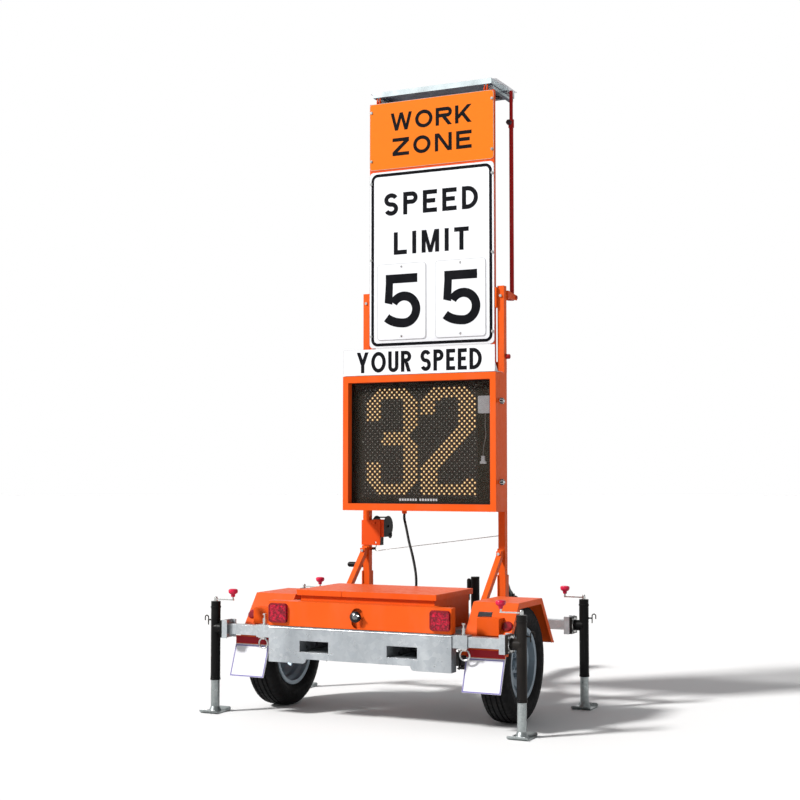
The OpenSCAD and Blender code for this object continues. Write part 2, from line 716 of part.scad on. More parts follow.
module mast_bolts() color(zinc) at_axle() {
  both_sides() {
    translate([0, post_y - 46, 0]) hex_head(post_mid_x, brace_top, 17, 7);
    translate([0, post_y, 0]) hex_head(post_mid_x, post_top - 55, 17, 7);
    for (z = [cab_z + 116, cab_z + 616]) rod_x(post_gap + post, post_gap + post + 7, post_y - 25, z, 17);
  }
  // round red-headed peg behind the right post
  rod_x(post_gap + post, post_gap + post + 22, post_back - 15, 1875, 24);
}

module collar_hardware() color(zinc) at_axle() both_sides() for (y = [rear_y, front_y]) {
  rod_z(receiver_top, receiver_top + 32, receiver_half - 32, y, 20);
  rod_z(receiver_top + 30, receiver_top + 50, receiver_half - 32, y, 10);
  rod_z(receiver_top + 48, receiver_top + 56, receiver_half - 32, y, 20);
  slab(receiver_half - 44, receiver_half - 6, y - 20, y + 20, receiver_low - 6, receiver_low);
  slab(receiver_half - 36, receiver_half - 14, y - 10, y + 10, receiver_low - 14, receiver_low - 5);
  translate([receiver_half - 25, y, receiver_low - 34]) rotate([90, 0, 0]) ring_shape(25, 9);
}

// Sliding sign frame --------------------------------------------------------------------------

module sign_frame() color(red_orange) at_axle() {
  difference() {
    union() {
      both_sides() {
        tube_z(frame_x - frame_t, frame_x, frame_y, frame_y + frame_t, frame_low, frame_top, 2);
        // lower shoe that runs behind the post
        slab(frame_x - frame_t, frame_x - 10, frame_y + frame_t - 1, post_back + 7, frame_low, frame_low + 60);
        slab(frame_x - frame_t, post_gap + post - 2, post_back + 0.7, post_back + 7, frame_low, frame_low + 60);
      }
      for (z = [frame_low, limit_z + 30, limit_z + 500, work_z - 24, work_z + 180, frame_top - frame_t])
        slab(-frame_x + frame_t - 1, frame_x - frame_t + 1, frame_y, frame_y + frame_t, z, z + frame_t);
    }
    both_sides() for (z = bolt_rows()) rod_y(frame_y - 5, frame_y + 14, bolt_x(), z, 6.4);
  }
  both_sides() {
    // strut bracket: cross plate behind the post and two ears
    slab(frame_x - frame_t, frame_x - 10, frame_y + frame_t - 1, post_back + 12, clevis_z - 20, clevis_z + 25);
    slab(frame_x - frame_t, post_gap + 46, post_back + 6, post_back + 12, clevis_z - 20, clevis_z + 25);
    for (x = [post_gap - 2, post_gap + 40]) difference() {
      prism_x(x, x + 6, [[post_back + 11, clevis_z - 20], [post_back + 11, clevis_z + 25],
        [clevis_y + 18, clevis_z + 12], [clevis_y + 18, clevis_z - 14]]);
      rod_x(x - 1, x + 7, clevis_y, clevis_z, 10.2);
    }
    // front hinge ears for the panel
    for (x = [frame_x - 45, frame_x - 61]) {
      slab(x, x + 5, hinge_axis_y - 3.5, hinge_axis_y + 3.5, frame_top - 1, hinge_axis_z);
      slab(x, x + 5, hinge_axis_y - 10, hinge_axis_y + 10, frame_top - 1, frame_top + 18);
      rod_x(x, x + 5, hinge_axis_y, hinge_axis_z, 7);
    }
    rod_x(frame_x - 61, frame_x - 40, hinge_axis_y, hinge_axis_z, 3);
  }
}

function bolt_x() = 370.5;
function bolt_rows() = [limit_z + 68, limit_z + 504, limit_z + 941, work_z + 54, work_z + 336];

module work_zone_plate() color(orange) at_axle() difference() {
  round_plate(-sign_w / 2, sign_w / 2, work_z, work_z + work_h, plate_y, frame_y, 18);
  for (x = [-bolt_x(), bolt_x()], z = [work_z + 54, work_z + 336]) rod_y(plate_y - 5, frame_y + 5, x, z, 6.4);
}

module speed_limit_plate() color(white) at_axle() difference() {
  round_plate(-sign_w / 2, sign_w / 2, limit_z, limit_z + limit_h, plate_y, frame_y, 24);
  for (x = [-bolt_x(), bolt_x()], z = [limit_z + 68, limit_z + 504, limit_z + 941])
    rod_y(plate_y - 5, frame_y + 5, x, z, 6.4);
  for (x = [-digit_x, digit_x], z = [limit_z + 64, limit_z + 458]) rod_y(plate_y - 5, frame_y + 5, x, z, 5.4);
}

module digit_plates() color(white) at_axle() for (x = [-digit_x, digit_x]) difference() {
  round_plate(x - digit_w / 2, x + digit_w / 2, digit_z, digit_z + digit_h, plate_y - 3, plate_y, 20);
  for (z = [limit_z + 64, limit_z + 458]) rod_y(plate_y - 5, plate_y + 5, x, z, 5.4);
}

module sign_bolts() color(zinc) at_axle() {
  for (x = [-bolt_x(), bolt_x()], z = bolt_rows()) {
    hex_bolt_y(x, plate_y - 1.5, z, 13, 5, 6, 14);
    rod_y(plate_y - 1.5, plate_y, x, z, 16);
  }
  for (x = [-digit_x, digit_x], z = [limit_z + 64, limit_z + 458]) {
    translate([x, plate_y - 3, z]) rotate([90, 0, 0]) cylinder(h = 4, d1 = 14, d2 = 8);
    rod_y(plate_y - 3, frame_y + 6, x, z, 5);
  }
}

// Display cabinet -------------------------------------------------------------------------------

module your_speed_plate() color(white) at_axle() {
  top = cab_z + cab_h + 1;
  slab(-cab_w / 2 + 4, cab_w / 2 - 4, door_y, door_y + 3, top, top + your_h);
  slab(-cab_w / 2 + 4, cab_w / 2 - 4, door_y, cab_y + 60, top, top + 3);
  for (x = [-430, 0, 427])
    prism_x(x, x + 3, [[door_y + 2, top + 2], [cab_y + 55, top + 2], [door_y + 2, top + 120]]);
}

module led_cabinet() color(orange) at_axle() {
  w = cab_w / 2;
  top = cab_z + cab_h + 1;
  difference() {
    slab(-w, w, cab_y, cab_back, cab_z, top);
    slab(-w + sheet, w - sheet, cab_y - 1, cab_back - sheet, cab_z + sheet, top - sheet);
    rod_z(cab_z - 5, cab_z + 5, -116, 370, cable_d + 8);
  }
  // front return flange
  difference() {
    slab(-w, w, cab_y, cab_y + 3, cab_z, top);
    slab(-w + 22, w - 22, cab_y - 1, cab_y + 4, cab_z + 22, top - 22);
  }
  // stand-offs for the display board
  for (x = [-340, 300], z = [cab_z + 100, cab_z + 660]) rod_y(board_y + 3, cab_back - 1, x, z, 14);
  slab(332, 392, board_y + 24, cab_back - 1, cab_z + 560, cab_z + 590);
  // brackets to the posts
  for (s = [-1, 1], z = [cab_z + 116, cab_z + 616]) difference() {
    slab(s > 0 ? post_gap : -post_gap - post, s > 0 ? post_gap + post : -post_gap,
      cab_back, post_y, z - 25, z + 25);
    slab(s > 0 ? post_gap + 4 : -post_gap - post + 4, s > 0 ? post_gap + post - 4 : -post_gap - 4,
      cab_back + 4, post_y - 4, z - 30, z + 30);
  }
  // cable gland
  difference() {
    union() {
      rod_z(cab_z - 16, cab_z, -116, 370, 28);
      rod_z(cab_z - 1, cab_z + 8, -116, 370, 22);
    }
    rod_z(cab_z - 20, cab_z + 20, -116, 370, cable_d + gland_fit);
  }
  // fixed hinge knuckles
  for (z = [cab_z + 110, cab_z + 600]) difference() {
    union() {
      rod_z(z, z + 40, -w - 7, cab_y, 12);
      slab(-w - 7, -w, cab_y, cab_y + 6, z, z + 40);
    }
    rod_z(z - 1, z + 41, -w - 7, cab_y, 6.2);
  }
}

module led_door() color(orange) at_axle() {
  w = cab_w / 2;
  z0 = cab_z + 1;
  z1 = cab_z + cab_h - 1;
  difference() {
    slab(-w, w, door_y, cab_y - eps, z0, z1);
    slab(-w + bezel, w - bezel, door_y - 1, cab_y + 1, cab_z + 39, z1 - 37);
    slab(-w + 3, w - 3, door_y + 3, cab_y + 1, z0 + 3, z1 - 3);
  }
  // inner return of the bezel
  difference() {
    slab(-w + bezel - 3, w - bezel + 3, door_y + 1, cab_y - 2, cab_z + 36, z1 - 34);
    slab(-w + bezel, w - bezel, door_y, cab_y + 1, cab_z + 39, z1 - 37);
  }
  for (z = [cab_z + 110, cab_z + 600]) {
    for (k = [-21.5, 41]) difference() {
      union() {
        rod_z(z + k, z + k + 20.5, -w - 7, cab_y, 12);
        slab(-w - 7, -w + 1, cab_y - 6, cab_y - eps, z + k, z + k + 20.5);
      }
      rod_z(z + k - 1, z + k + 22, -w - 7, cab_y, 6);
    }
    rod_z(z - 21, z + 61, -w - 7, cab_y, 6);
  }
  // latch keepers
  for (z = [cab_z + 158, cab_z + 592]) {
    slab(w, w + 3, door_y + 10, cab_y - 3, z - 12, z + 12);
    rod_z(z - 9, z + 9, w + 5, cab_y - 22, 8);
  }
}

module door_window() color([0.24, 0.24, 0.24, 0.5]) at_axle() {
  z1 = cab_z + cab_h - 1;
  slab(-cab_w / 2 + bezel, cab_w / 2 - bezel, cab_y - 9, cab_y - 5, cab_z + 39, z1 - 37);
}

module led_board() color(black) at_axle() {
  slab(-372, 328, board_y, board_y + 3, cab_z + 70, cab_z + 690);
  for (x = [-300, -140, 20, 180], z = [cab_z + 160, cab_z + 340, cab_z + 520])
    slab(x, x + 90, board_y + 3, board_y + 14, z, z + 50);
}

module radar_unit() color(white) at_axle() {
  round_plate(332, 397, cab_z + 527, cab_z + 621, board_y - 4, board_y + 24, 5);
}

// Winch ---------------------------------------------------------------------------------------------

module winch_frame() color(red_orange) at_axle() {
  // bracket plate with a return flange
  difference() {
    union() {
      slab(-436, -319, post_y - 8, post_y, 835, 976);
      slab(-325, -319, post_y - 8, post_y + 37, 835, 976);
    }
    for (z = [850, 961]) rod_y(post_y - 20, post_y + 5, -348, z, 11);
  }
  for (x = [winch_x, winch_x + 72]) difference() {
    union() {
      rod_x(x, x + 4, winch_y, winch_z, 118);
      slab(x, x + 4, post_y, winch_y, winch_z - 59, winch_z + 40);
      rod_x(x, x + 4, crank_y, crank_z, 44);
    }
    rod_x(x - 1, x + 5, winch_y, winch_z, 14.2);
    rod_x(x - 1, x + 5, crank_y, crank_z, 14.2);
    slab(x - 1, x + 5, post_y - 100, post_y, winch_z - 80, winch_z + 80);
  }
  slab(winch_x + 2, winch_x + 74, post_y, post_y + 5, winch_z - 59, winch_z + 40);
  rod_x(winch_x, winch_x + 76, winch_y + 10, winch_z + 50, 8);
  // fairlead for the rope on the left post
  slab(-392, -365, 498, 512, 808, 822);
}

module winch_drum() color(dark) at_axle() {
  rod_x(winch_x - 6, winch_x + 82, winch_y, winch_z, 14);
  rod_x(winch_x + 16, winch_x + 58, winch_y, winch_z, 40);
  rod_x(winch_x + 18, winch_x + 48, winch_y, winch_z, 55);
  rod_x(winch_x + 12, winch_x + 16, winch_y, winch_z, 76);
  rod_x(winch_x + 57, winch_x + 61, winch_y, winch_z, 76);
  rod_x(winch_x + 61, winch_x + 68, winch_y, winch_z, 86);
}

module winch_crank() color(black) at_axle() {
  rod_x(-464, winch_x + 82, crank_y, crank_z, 14);
  rod_x(winch_x + 61, winch_x + 69, crank_y, crank_z, 21.6);
  slab(-464, -456, crank_y - 11, crank_y + 11, crank_z - crank_arm, crank_z + 12);
  rod_x(-470, -463, crank_y, crank_z, 26);
  rod_x(-470, -463, crank_y, crank_z - crank_arm, 22);
  rod_x(-grip_x, -469, crank_y, crank_z - crank_arm, 30);
  translate([-grip_x, crank_y, crank_z - crank_arm]) sphere(d = 30);
}

module wire_rope() color([0.72, 0.72, 0.7]) at_axle() cord(rope_route, rope_d, [0, 1, 0], 8);

// Solar panel and struts ------------------------------------------------------------------------------

module solar_panel() color([0.82, 0.83, 0.84]) at_axle() {
  px = panel_w / 2;
  y1 = panel_y + panel_l;
  difference() {
    slab(-px, px, panel_y, y1, panel_z, panel_z + panel_t);
    slab(-px + 24, px - 24, panel_y + 24, y1 - 24, panel_z - 1, panel_z + panel_t - 6);
    slab(-px + 10, px - 10, panel_y + 10, y1 - 10, panel_z + panel_t - 2, panel_z + panel_t + 1);
    slab(-px + 2, px - 2, panel_y + 2, y1 - 2, panel_z + 2, panel_z + panel_t - 8);
  }
  slab(-60, 60, y1 - 110, y1 - 60, panel_z + 4, panel_z + panel_t - 6);
  both_sides() {
    // side channel below the frame and the ear for the strut
    slab(px - 30, px - 6, panel_y + 40, y1 - 2, panel_z - 20, panel_z);
    difference() {
      union() {
        slab(px - 7, strut_x - strut_d / 2 - 1, clevis_y - 20, clevis_y + 20, panel_z - 6, panel_z);
        slab(strut_x - strut_d / 2 - 5, strut_x - strut_d / 2 - 1, clevis_y - 16, clevis_y + 16,
          panel_z - 34, panel_z);
      }
      for (y = [clevis_y - 5, clevis_y + 5]) rod_x(strut_x - 30, strut_x + 30, y, strut_pin_z, 8.4);
      slab(strut_x - 30, strut_x + 30, clevis_y - 5, clevis_y + 5, strut_pin_z - 4.2, strut_pin_z + 4.2);
    }
    // hinge leaf between the two ears of the sign frame
    difference() {
      union() {
        rod_x(frame_x - 55.4, frame_x - 45.6, hinge_axis_y, hinge_axis_z, 6.6);
        slab(frame_x - 55.4, frame_x - 45.6, hinge_axis_y, panel_y + 24, hinge_axis_z - 3, panel_z + 1);
      }
      rod_x(frame_x - 70, frame_x - 30, hinge_axis_y, hinge_axis_z, 3.1);
    }
  }
}

module strut_outer() color(maroon) at_axle() both_sides() {
  difference() {
    union() {
      rod_z(clevis_z - 16, panel_z - 170, strut_x, clevis_y, strut_d);
      rod_x(strut_x - 17, strut_x + 17, clevis_y, clevis_z, 26);
    }
    rod_z(clevis_z + 40, panel_z, strut_x, clevis_y, strut_d - 4);
  }
  rod_x(strut_x - 26, strut_x + 28, clevis_y, clevis_z, 10);
  rod_x(strut_x + 25, strut_x + 31, clevis_y, clevis_z, 18);
  // clamp collar and star knob
  difference() {
    rod_z(panel_z - 215, panel_z - 170, strut_x, clevis_y, strut_d + 8);
    rod_z(panel_z - 220, panel_z - 160, strut_x, clevis_y, strut_d - 4);
  }
  rod_y(clevis_y - 30, clevis_y - strut_d / 2 - 3, strut_x, panel_z - 192, 10);
  rod_y(clevis_y - 44, clevis_y - 26, strut_x, panel_z - 192, 28);
}

module strut_inner() color(maroon) at_axle() both_sides() {
  rod_z(panel_z - 700, strut_pin_z + 12, strut_x, clevis_y, strut_d - 4 - 2 * run_fit);
  rod_x(strut_x - strut_d / 2 - 9, strut_x, clevis_y, strut_pin_z, 6);
  rod_x(strut_x - strut_d / 2 - 11, strut_x - strut_d / 2 - 6, clevis_y, strut_pin_z, 14);
}

module power_cable() color(black) at_axle() cord(cable_route, cable_d, [1, 0, 0], 12);

// Outriggers -------------------------------------------------------------------------------------------

module arm() {
  tube_x(100, mount_x - 7, 0, arm_z, arm_size, arm_size - 10);
  // end plate with side flanges turned back along the arm
  slab(mount_x - 8, mount_x, -mount_half, mount_half, arm_z - mount_half, arm_z + mount_half);
  for (s = [-1, 1]) slab(mount_x - 30, mount_x - 7, s > 0 ? mount_half - 6 : -mount_half,
    s > 0 ? mount_half : 6 - mount_half, arm_z - mount_half, arm_z + mount_half);
  // swivel spigot
  rod_x(mount_x - 1, mount_x + 24, 0, arm_z, 36);
  for (y = [-32, 32], z = [-34, 34]) rod_x(mount_x - 14, mount_x - 7, y, arm_z + z, 13);
}

module jack_tube() {
  difference() {
    union() {
      rod_z(jack_low, jack_top, jack_x, 0, jack_d);
      rod_x(mount_x + 0.6, jack_x, 0, arm_z, 56);
      slab(mount_x + 0.6, mount_x + 14, -swivel_half, swivel_half, arm_z - swivel_half, arm_z + swivel_half);
      rod_x(mount_x + 13, mount_x + 17, 0, arm_z, 72);
      rod_z(jack_top - 34, jack_top - 26, jack_x, 0, jack_d + 4);
      rod_z(jack_low, jack_low + 6, jack_x, 0, jack_d + 3);
    }
    rod_x(mount_x - 1, mount_x + 25, 0, arm_z, 36 + 2 * run_fit);
    rod_z(jack_low - 1, jack_top - 6, jack_x, 0, leg_d + 2 * run_fit);
    rod_z(jack_top - 10, jack_top + 1, jack_x, 0, 12.1);
  }
  // pull pin with a bent handle on the outboard side
  rod_x(jack_x + jack_d / 2 - 1, jack_x + jack_d / 2 + 22, 0, arm_z + 40, 8);
  translate([jack_x + jack_d / 2 + 20, 0, arm_z + 40]) {
    rod_z(-26, 12, 0, 0, 6);
    translate([10, 0, 12]) rotate([90, 0, 0]) rotate_extrude(angle = 180) translate([10, 0]) circle(d = 6);
    rod_z(-4, 12, 20, 0, 6);
  }
}

module leg() {
  difference() {
    union() {
      rod_z(4, 400, jack_x, 0, leg_d);
      translate([jack_x, 0, 5]) cylinder(h = 26, d1 = leg_d + 20, d2 = leg_d);
      intersection() {
        prism_x(jack_x - foot_half_x, jack_x + foot_half_x, [[-foot_half_y, 14], [-57, 0], [57, 0],
          [foot_half_y, 14], [foot_half_y, 20], [55, 6], [-55, 6], [-foot_half_y, 20]]);
        rod_z(-1, 40, jack_x, 0, 172);
      }
    }
    rod_z(12, 384, jack_x, 0, leg_d - 7);
    rod_z(380, 401, jack_x, 0, 12.8);
  }
}

module crank() {
  rod_z(155, jack_top + 18, jack_x, 0, 12);
  rod_z(jack_top + 0.4, jack_top + 18, jack_x, 0, 19);
  slab(jack_x - crank_r - 4, jack_x, -6, 6, jack_top + 7, jack_top + 13);
  rod_z(jack_top + 8, jack_top + 30, jack_x - crank_r, 0, 10);
  translate([jack_x - crank_r, 0, jack_top + 26]) rotate_extrude()
    polygon([[0, 0], [8, 0], [9, 12], [19, 20], [23, 26], [23, 33], [18, 38], [0, 40]]);
}

module arm_rear_right() color(zinc) at_axle() translate([0, rear_y, 0]) arm();
module arm_front_right() color(zinc) at_axle() translate([0, front_y, 0]) arm();
module arm_rear_left() color(zinc) at_axle() translate([0, rear_y, 0]) mirror([1, 0, 0]) arm();
module arm_front_left() color(zinc) at_axle() translate([0, front_y, 0]) mirror([1, 0, 0]) arm();
module jack_rear_right() color(black) at_axle() translate([0, rear_y, 0]) jack_tube();
module jack_front_right() color(black) at_axle() translate([0, front_y, 0]) jack_tube();
module jack_rear_left() color(black) at_axle() translate([0, rear_y, 0]) mirror([1, 0, 0]) jack_tube();
module jack_front_left() color(black) at_axle() translate([0, front_y, 0]) mirror([1, 0, 0]) jack_tube();
module leg_rear_right() color(zinc) at_axle() translate([0, rear_y, 0]) leg();
module leg_front_right() color(zinc) at_axle() translate([0, front_y, 0]) leg();
module leg_rear_left() color(zinc) at_axle() translate([0, rear_y, 0]) mirror([1, 0, 0]) leg();
module leg_front_left() color(zinc) at_axle() translate([0, front_y, 0]) mirror([1, 0, 0]) leg();
module crank_rear_right() color(maroon) at_axle() translate([0, rear_y, 0]) crank();
module crank_front_right() color(maroon) at_axle() translate([0, front_y, 0]) crank();
module crank_rear_left() color(maroon) at_axle() translate([0, rear_y, 0]) mirror([1, 0, 0]) crank();
module crank_front_left() color(maroon) at_axle() translate([0, front_y, 0]) mirror([1, 0, 0]) crank();

chassis_frame();
rear_bumper();
axle_assembly();
coupler_body();
coupler_latch();
tongue_jack_tube();
tongue_jack_leg();
tongue_jack_crank();
battery_box();
battery_lid();
batteries();
charge_controller();
locks();
lamp_panel();
tail_lamps();
fender_left();
fender_right();
mud_flaps();
rim_left();
rim_right();
tyre_left();
tyre_right();
mast_posts();
mast_bolts();
collar_hardware();
sign_frame();
work_zone_plate();
speed_limit_plate();
digit_plates();
sign_bolts();
your_speed_plate();
led_cabinet();
led_door();
door_window();
led_board();
radar_unit();
winch_frame();
winch_drum();
winch_crank();
wire_rope();
solar_panel();
strut_outer();
strut_inner();
power_cable();
arm_rear_left();
arm_rear_right();
arm_front_left();
arm_front_right();
jack_rear_left();
jack_rear_right();
jack_front_left();
jack_front_right();
leg_rear_left();
leg_rear_right();
leg_front_left();
leg_front_right();
crank_rear_left();
crank_rear_right();
crank_front_left();
crank_front_right();
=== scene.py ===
"""Looks for the towed speed display: materials, lettering, lamps, tyres and small hardware."""
import math

import bpy
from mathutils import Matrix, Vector


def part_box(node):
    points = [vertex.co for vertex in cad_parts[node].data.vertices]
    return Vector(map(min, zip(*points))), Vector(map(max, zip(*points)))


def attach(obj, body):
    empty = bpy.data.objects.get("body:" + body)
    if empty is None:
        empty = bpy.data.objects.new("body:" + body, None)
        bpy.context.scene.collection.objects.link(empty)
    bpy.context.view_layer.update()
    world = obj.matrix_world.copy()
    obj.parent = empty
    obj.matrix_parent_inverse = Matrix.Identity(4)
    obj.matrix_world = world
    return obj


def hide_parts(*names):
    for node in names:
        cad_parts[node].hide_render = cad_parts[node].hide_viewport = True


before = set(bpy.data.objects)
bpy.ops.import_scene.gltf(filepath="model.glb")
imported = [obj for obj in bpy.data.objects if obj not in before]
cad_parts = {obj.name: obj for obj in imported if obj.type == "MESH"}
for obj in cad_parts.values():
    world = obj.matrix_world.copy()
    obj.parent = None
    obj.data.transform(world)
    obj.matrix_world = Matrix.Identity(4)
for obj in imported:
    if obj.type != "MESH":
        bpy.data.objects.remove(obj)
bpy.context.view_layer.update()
SHIFT = -0.670  # the part's origin lies 670 mm towards the coupler from the wheel axle

# Places shared by several pieces, in millimetres from the axle
WHEEL_R = 290  # the axle's height above the floor
ARM_Z = 434  # axis of the outrigger arms
JACK_X = 850  # axis of the jack tubes
KNOB_X = 745  # axis of the crank knobs
MOUNT_X, MOUNT_HALF = 783, 46  # outer face and half side of an arm's end plate
LAMP_X, LAMP_Z, LAMP_FACE = 449, 531, -431
DRUM_Y, DRUM_Z = 545, 940
PINION_Y, PINION_Z = 572, 893
STRUT_X, STRUT_Y, STRUT_KNOB_Z = 414, 650, 3196
LATCH_X = 460.6  # right side of the cabinet


def at(x, y, z):
    """A point in millimetres from the wheel axle, in the row frame's metres."""
    return Vector((x / 1000, y / 1000 + SHIFT, z / 1000))


# Camera -------------------------------------------------------------------------

camera = bpy.data.objects.new("camera", bpy.data.cameras.new("camera"))
bpy.context.scene.collection.objects.link(camera)
camera.location = (3.179, -7.236, 1.228)
camera.rotation_euler = (math.radians(93.10), 0, math.radians(25.59))
camera.data.lens = 62.62
camera.data.sensor_width = 36
camera.data.clip_end = 300
bpy.context.scene.camera = camera


# Node helpers -------------------------------------------------------------------

class Shader:
    """One material and short ways to add nodes to it."""

    def __init__(self, name, **sockets):
        self.mat = bpy.data.materials.new(name)
        self.mat.use_nodes = True
        self.tree = self.mat.node_tree
        self.bsdf = self.tree.nodes["Principled BSDF"]
        self.bsdf.inputs["Specular IOR Level"].default_value = 0.10
        for key, value in sockets.items():
            self.bsdf.inputs[key.replace("_", " ")].default_value = value
        self.coords = self.add("ShaderNodeTexCoord").outputs["Object"]
        self.edge = None

    def add(self, kind, inputs=None, **settings):
        made = self.tree.nodes.new(kind)
        for key, value in settings.items():
            setattr(made, key, value)
        for key, value in (inputs or {}).items():
            if isinstance(value, bpy.types.NodeSocket):
                self.tree.links.new(value, made.inputs[key])
            else:
                made.inputs[key].default_value = value
        return made

    def link(self, output, socket):
        self.tree.links.new(output, self.bsdf.inputs[socket])

    def noise(self, scale, detail=3.0, stretch=(1, 1, 1), rough=0.5):
        mapped = self.add("ShaderNodeMapping", {"Vector": self.coords, "Scale": stretch})
        inputs = {"Vector": mapped.outputs[0], "Scale": scale, "Detail": detail, "Roughness": rough}
        return self.add("ShaderNodeTexNoise", inputs).outputs["Fac"]

    def cells(self, scale, feature="F1"):
        return self.add("ShaderNodeTexVoronoi", {"Vector": self.coords, "Scale": scale}, feature=feature)

    def span(self, value, a, b, low, high):
        return self.add("ShaderNodeMapRange", {"Value": value, "From Min": a, "From Max": b,
                                               "To Min": low, "To Max": high}).outputs[0]

    def mix(self, fac, a, b, blend="MIX"):
        made = self.add("ShaderNodeMix", data_type="RGBA", blend_type=blend)
        for key, value in ((0, fac), (6, a), (7, b)):
            if isinstance(value, bpy.types.NodeSocket):
                self.tree.links.new(value, made.inputs[key])
            else:
                made.inputs[key].default_value = value if key == 0 else (*value, 1)
        return made.outputs[2]

    def math(self, operation, a, b=0.0):
        made = self.add("ShaderNodeMath", operation=operation)
        for key, value in ((0, a), (1, b)):
            if isinstance(value, bpy.types.NodeSocket):
                self.tree.links.new(value, made.inputs[key])
            else:
                made.inputs[key].default_value = value
        return made.outputs[0]

    def bump(self, height, strength, distance, edge=0.0):
        made = self.add("ShaderNodeBump", {"Height": height, "Strength": strength, "Distance": distance})
        if edge:
            self.tree.links.new(self.soft_edge(edge), made.inputs["Normal"])
        self.link(made.outputs[0], "Normal")

    def soft_edge(self, radius):
        if self.edge is None:
            self.edge = self.add("ShaderNodeBevel", {"Radius": radius}, samples=3).outputs[0]
        return self.edge

    def edge_mask(self, radius):
        """1 on outer and inner edges, 0 on flats."""
        flat = self.add("ShaderNodeNewGeometry").outputs["Normal"]
        inputs = {0: self.soft_edge(radius), 1: flat}
        dot = self.add("ShaderNodeVectorMath", inputs, operation="DOT_PRODUCT")
        return self.span(dot.outputs["Value"], 0.995, 0.86, 0.0, 1.0)


def paint(name, color, dark, rough=0.42, coat=0.0, wear=(0.6, 0.25, 0.12), wear_amount=0.14, edge=0.0014):
    """Powder coat: orange peel, faint dust in streaks, slightly rubbed edges."""
    s = Shader(name, Metallic=0.0, Coat_Weight=coat, Coat_Roughness=0.12, Specular_IOR_Level=0.07)
    wide = s.span(s.noise(2.3, 4), 0.35, 0.7, 0.0, 0.55)
    base = s.mix(wide, color, dark)
    rub = s.math("MULTIPLY", s.edge_mask(edge), s.span(s.noise(38, 4), 0.48, 0.62, 0.0, wear_amount))
    base = s.mix(rub, base, wear)
    dust = s.span(s.noise(9, 5, (1, 1, 0.3)), 0.5, 0.8, 0.0, 0.05)
    s.link(s.mix(dust, base, (0.42, 0.34, 0.28)), "Base Color")
    s.link(s.span(s.noise(55, 3), 0.3, 0.7, rough - 0.07, rough + 0.10), "Roughness")
    s.bump(s.noise(420, 2), 0.10, 0.0005, edge)
    return s.mat


def zinc(name, light, dark, rough=0.36, spangle=70, metal=0.75, streak=1.0):
    """Hot-dip zinc: spangles, runs and dull patches."""
    s = Shader(name, Metallic=metal)
    grain = s.cells(spangle)
    tone = s.add("ShaderNodeSeparateColor", {0: grain.outputs["Color"]}).outputs[0]
    base = s.mix(s.span(tone, 0.0, 1.0, 0.0, 0.55), light, dark)
    runs = s.span(s.noise(6, 4, (1, 1, 0.22)), 0.42, 0.72, 0.0, 0.5 * streak)
    base = s.mix(runs, base, tuple(0.72 * c for c in dark))
    bright = s.math("MULTIPLY", s.edge_mask(0.0012), 0.45)
    s.link(s.mix(bright, base, (0.92, 0.94, 0.95)), "Base Color")
    dull = s.span(s.noise(14, 4), 0.35, 0.7, 0, 0.16)
    s.link(s.math("ADD", s.span(tone, 0, 1, rough - 0.07, rough + 0.08), dull), "Roughness")
    relief = s.math("ADD", s.math("MULTIPLY", grain.outputs["Distance"], 0.5), s.noise(90, 3))
    s.bump(relief, 0.12, 0.0008, 0.0012)
    return s.mat


def plain(name, color, other, rough, metal=0.0, scale=60, bump=0.1, coat=0.0):
    """An even surface with soft patches of a second colour and a fine grain."""
    s = Shader(name, Metallic=metal, Coat_Weight=coat)
    s.link(s.mix(s.span(s.noise(scale * 0.2), 0.35, 0.68, 0, 1), color, other), "Base Color")
    s.link(s.span(s.noise(scale * 0.5, 3), 0.3, 0.7, rough - 0.08, rough + 0.08), "Roughness")
    s.bump(s.noise(scale * 6, 2), bump, 0.0006)
    return s.mat


def sheeting(name, color, other):
    """Prismatic reflective sheeting: a fine cell pattern under a clear film."""
    s = Shader(name, Coat_Weight=0.08, Coat_Roughness=0.08, Roughness=0.42)
    mapped = s.add("ShaderNodeMapping", {"Vector": s.coords, "Rotation": (0, math.radians(45), 0)})
    hexes = s.add("ShaderNodeTexVoronoi", {"Vector": mapped.outputs[0], "Scale": 300, "Randomness": 0.0},
                  feature="DISTANCE_TO_EDGE").outputs["Distance"]
    base = s.mix(s.span(hexes, 0.02, 0.08, 0.22, 0.0), color, other)
    s.link(s.mix(s.span(s.noise(3, 4), 0.4, 0.7, 0.0, 0.10), base, other), "Base Color")
    s.bump(hexes, 0.05, 0.0003)
    return s.mat


ORANGE = paint("paint_orange", (0.640, 0.086, 0.009), (0.600, 0.068, 0.007))
# painted shade: a darker, redder copy of the orange paint, given to the sign frame and the winch frame
ORANGE_PAINTED_SHADE = paint("paint_orange_painted_shade", (0.610, 0.070, 0.009), (0.560, 0.052, 0.007))
BLACK = paint("paint_black", (0.005, 0.005, 0.005), (0.009, 0.009, 0.010), 0.36, 0.0,
              (0.06, 0.06, 0.06), 0.3)
MAROON = paint("paint_maroon", (0.30, 0.010, 0.010), (0.22, 0.008, 0.008), 0.40, 0.0,
               (0.4, 0.08, 0.06), 0.2)
GALV = zinc("galvanised", (0.50, 0.53, 0.55), (0.30, 0.33, 0.35))
GALV_PLATE = zinc("galvanised_plate", (0.50, 0.53, 0.55), (0.30, 0.33, 0.36), 0.30, 48, 0.7, 1.5)
ZINC = plain("zinc_plated", (0.60, 0.61, 0.61), (0.42, 0.42, 0.40), 0.28, 1.0, 120, 0.06)
STEEL = plain("dark_steel", (0.022, 0.022, 0.024), (0.05, 0.048, 0.046), 0.40, 0.6, 70, 0.12)
SIGN_ORANGE = sheeting("sheeting_orange", (0.660, 0.148, 0.0035), (0.60, 0.115, 0.003))
SIGN_WHITE = sheeting("sheeting_white", (0.66, 0.67, 0.69), (0.56, 0.57, 0.60))
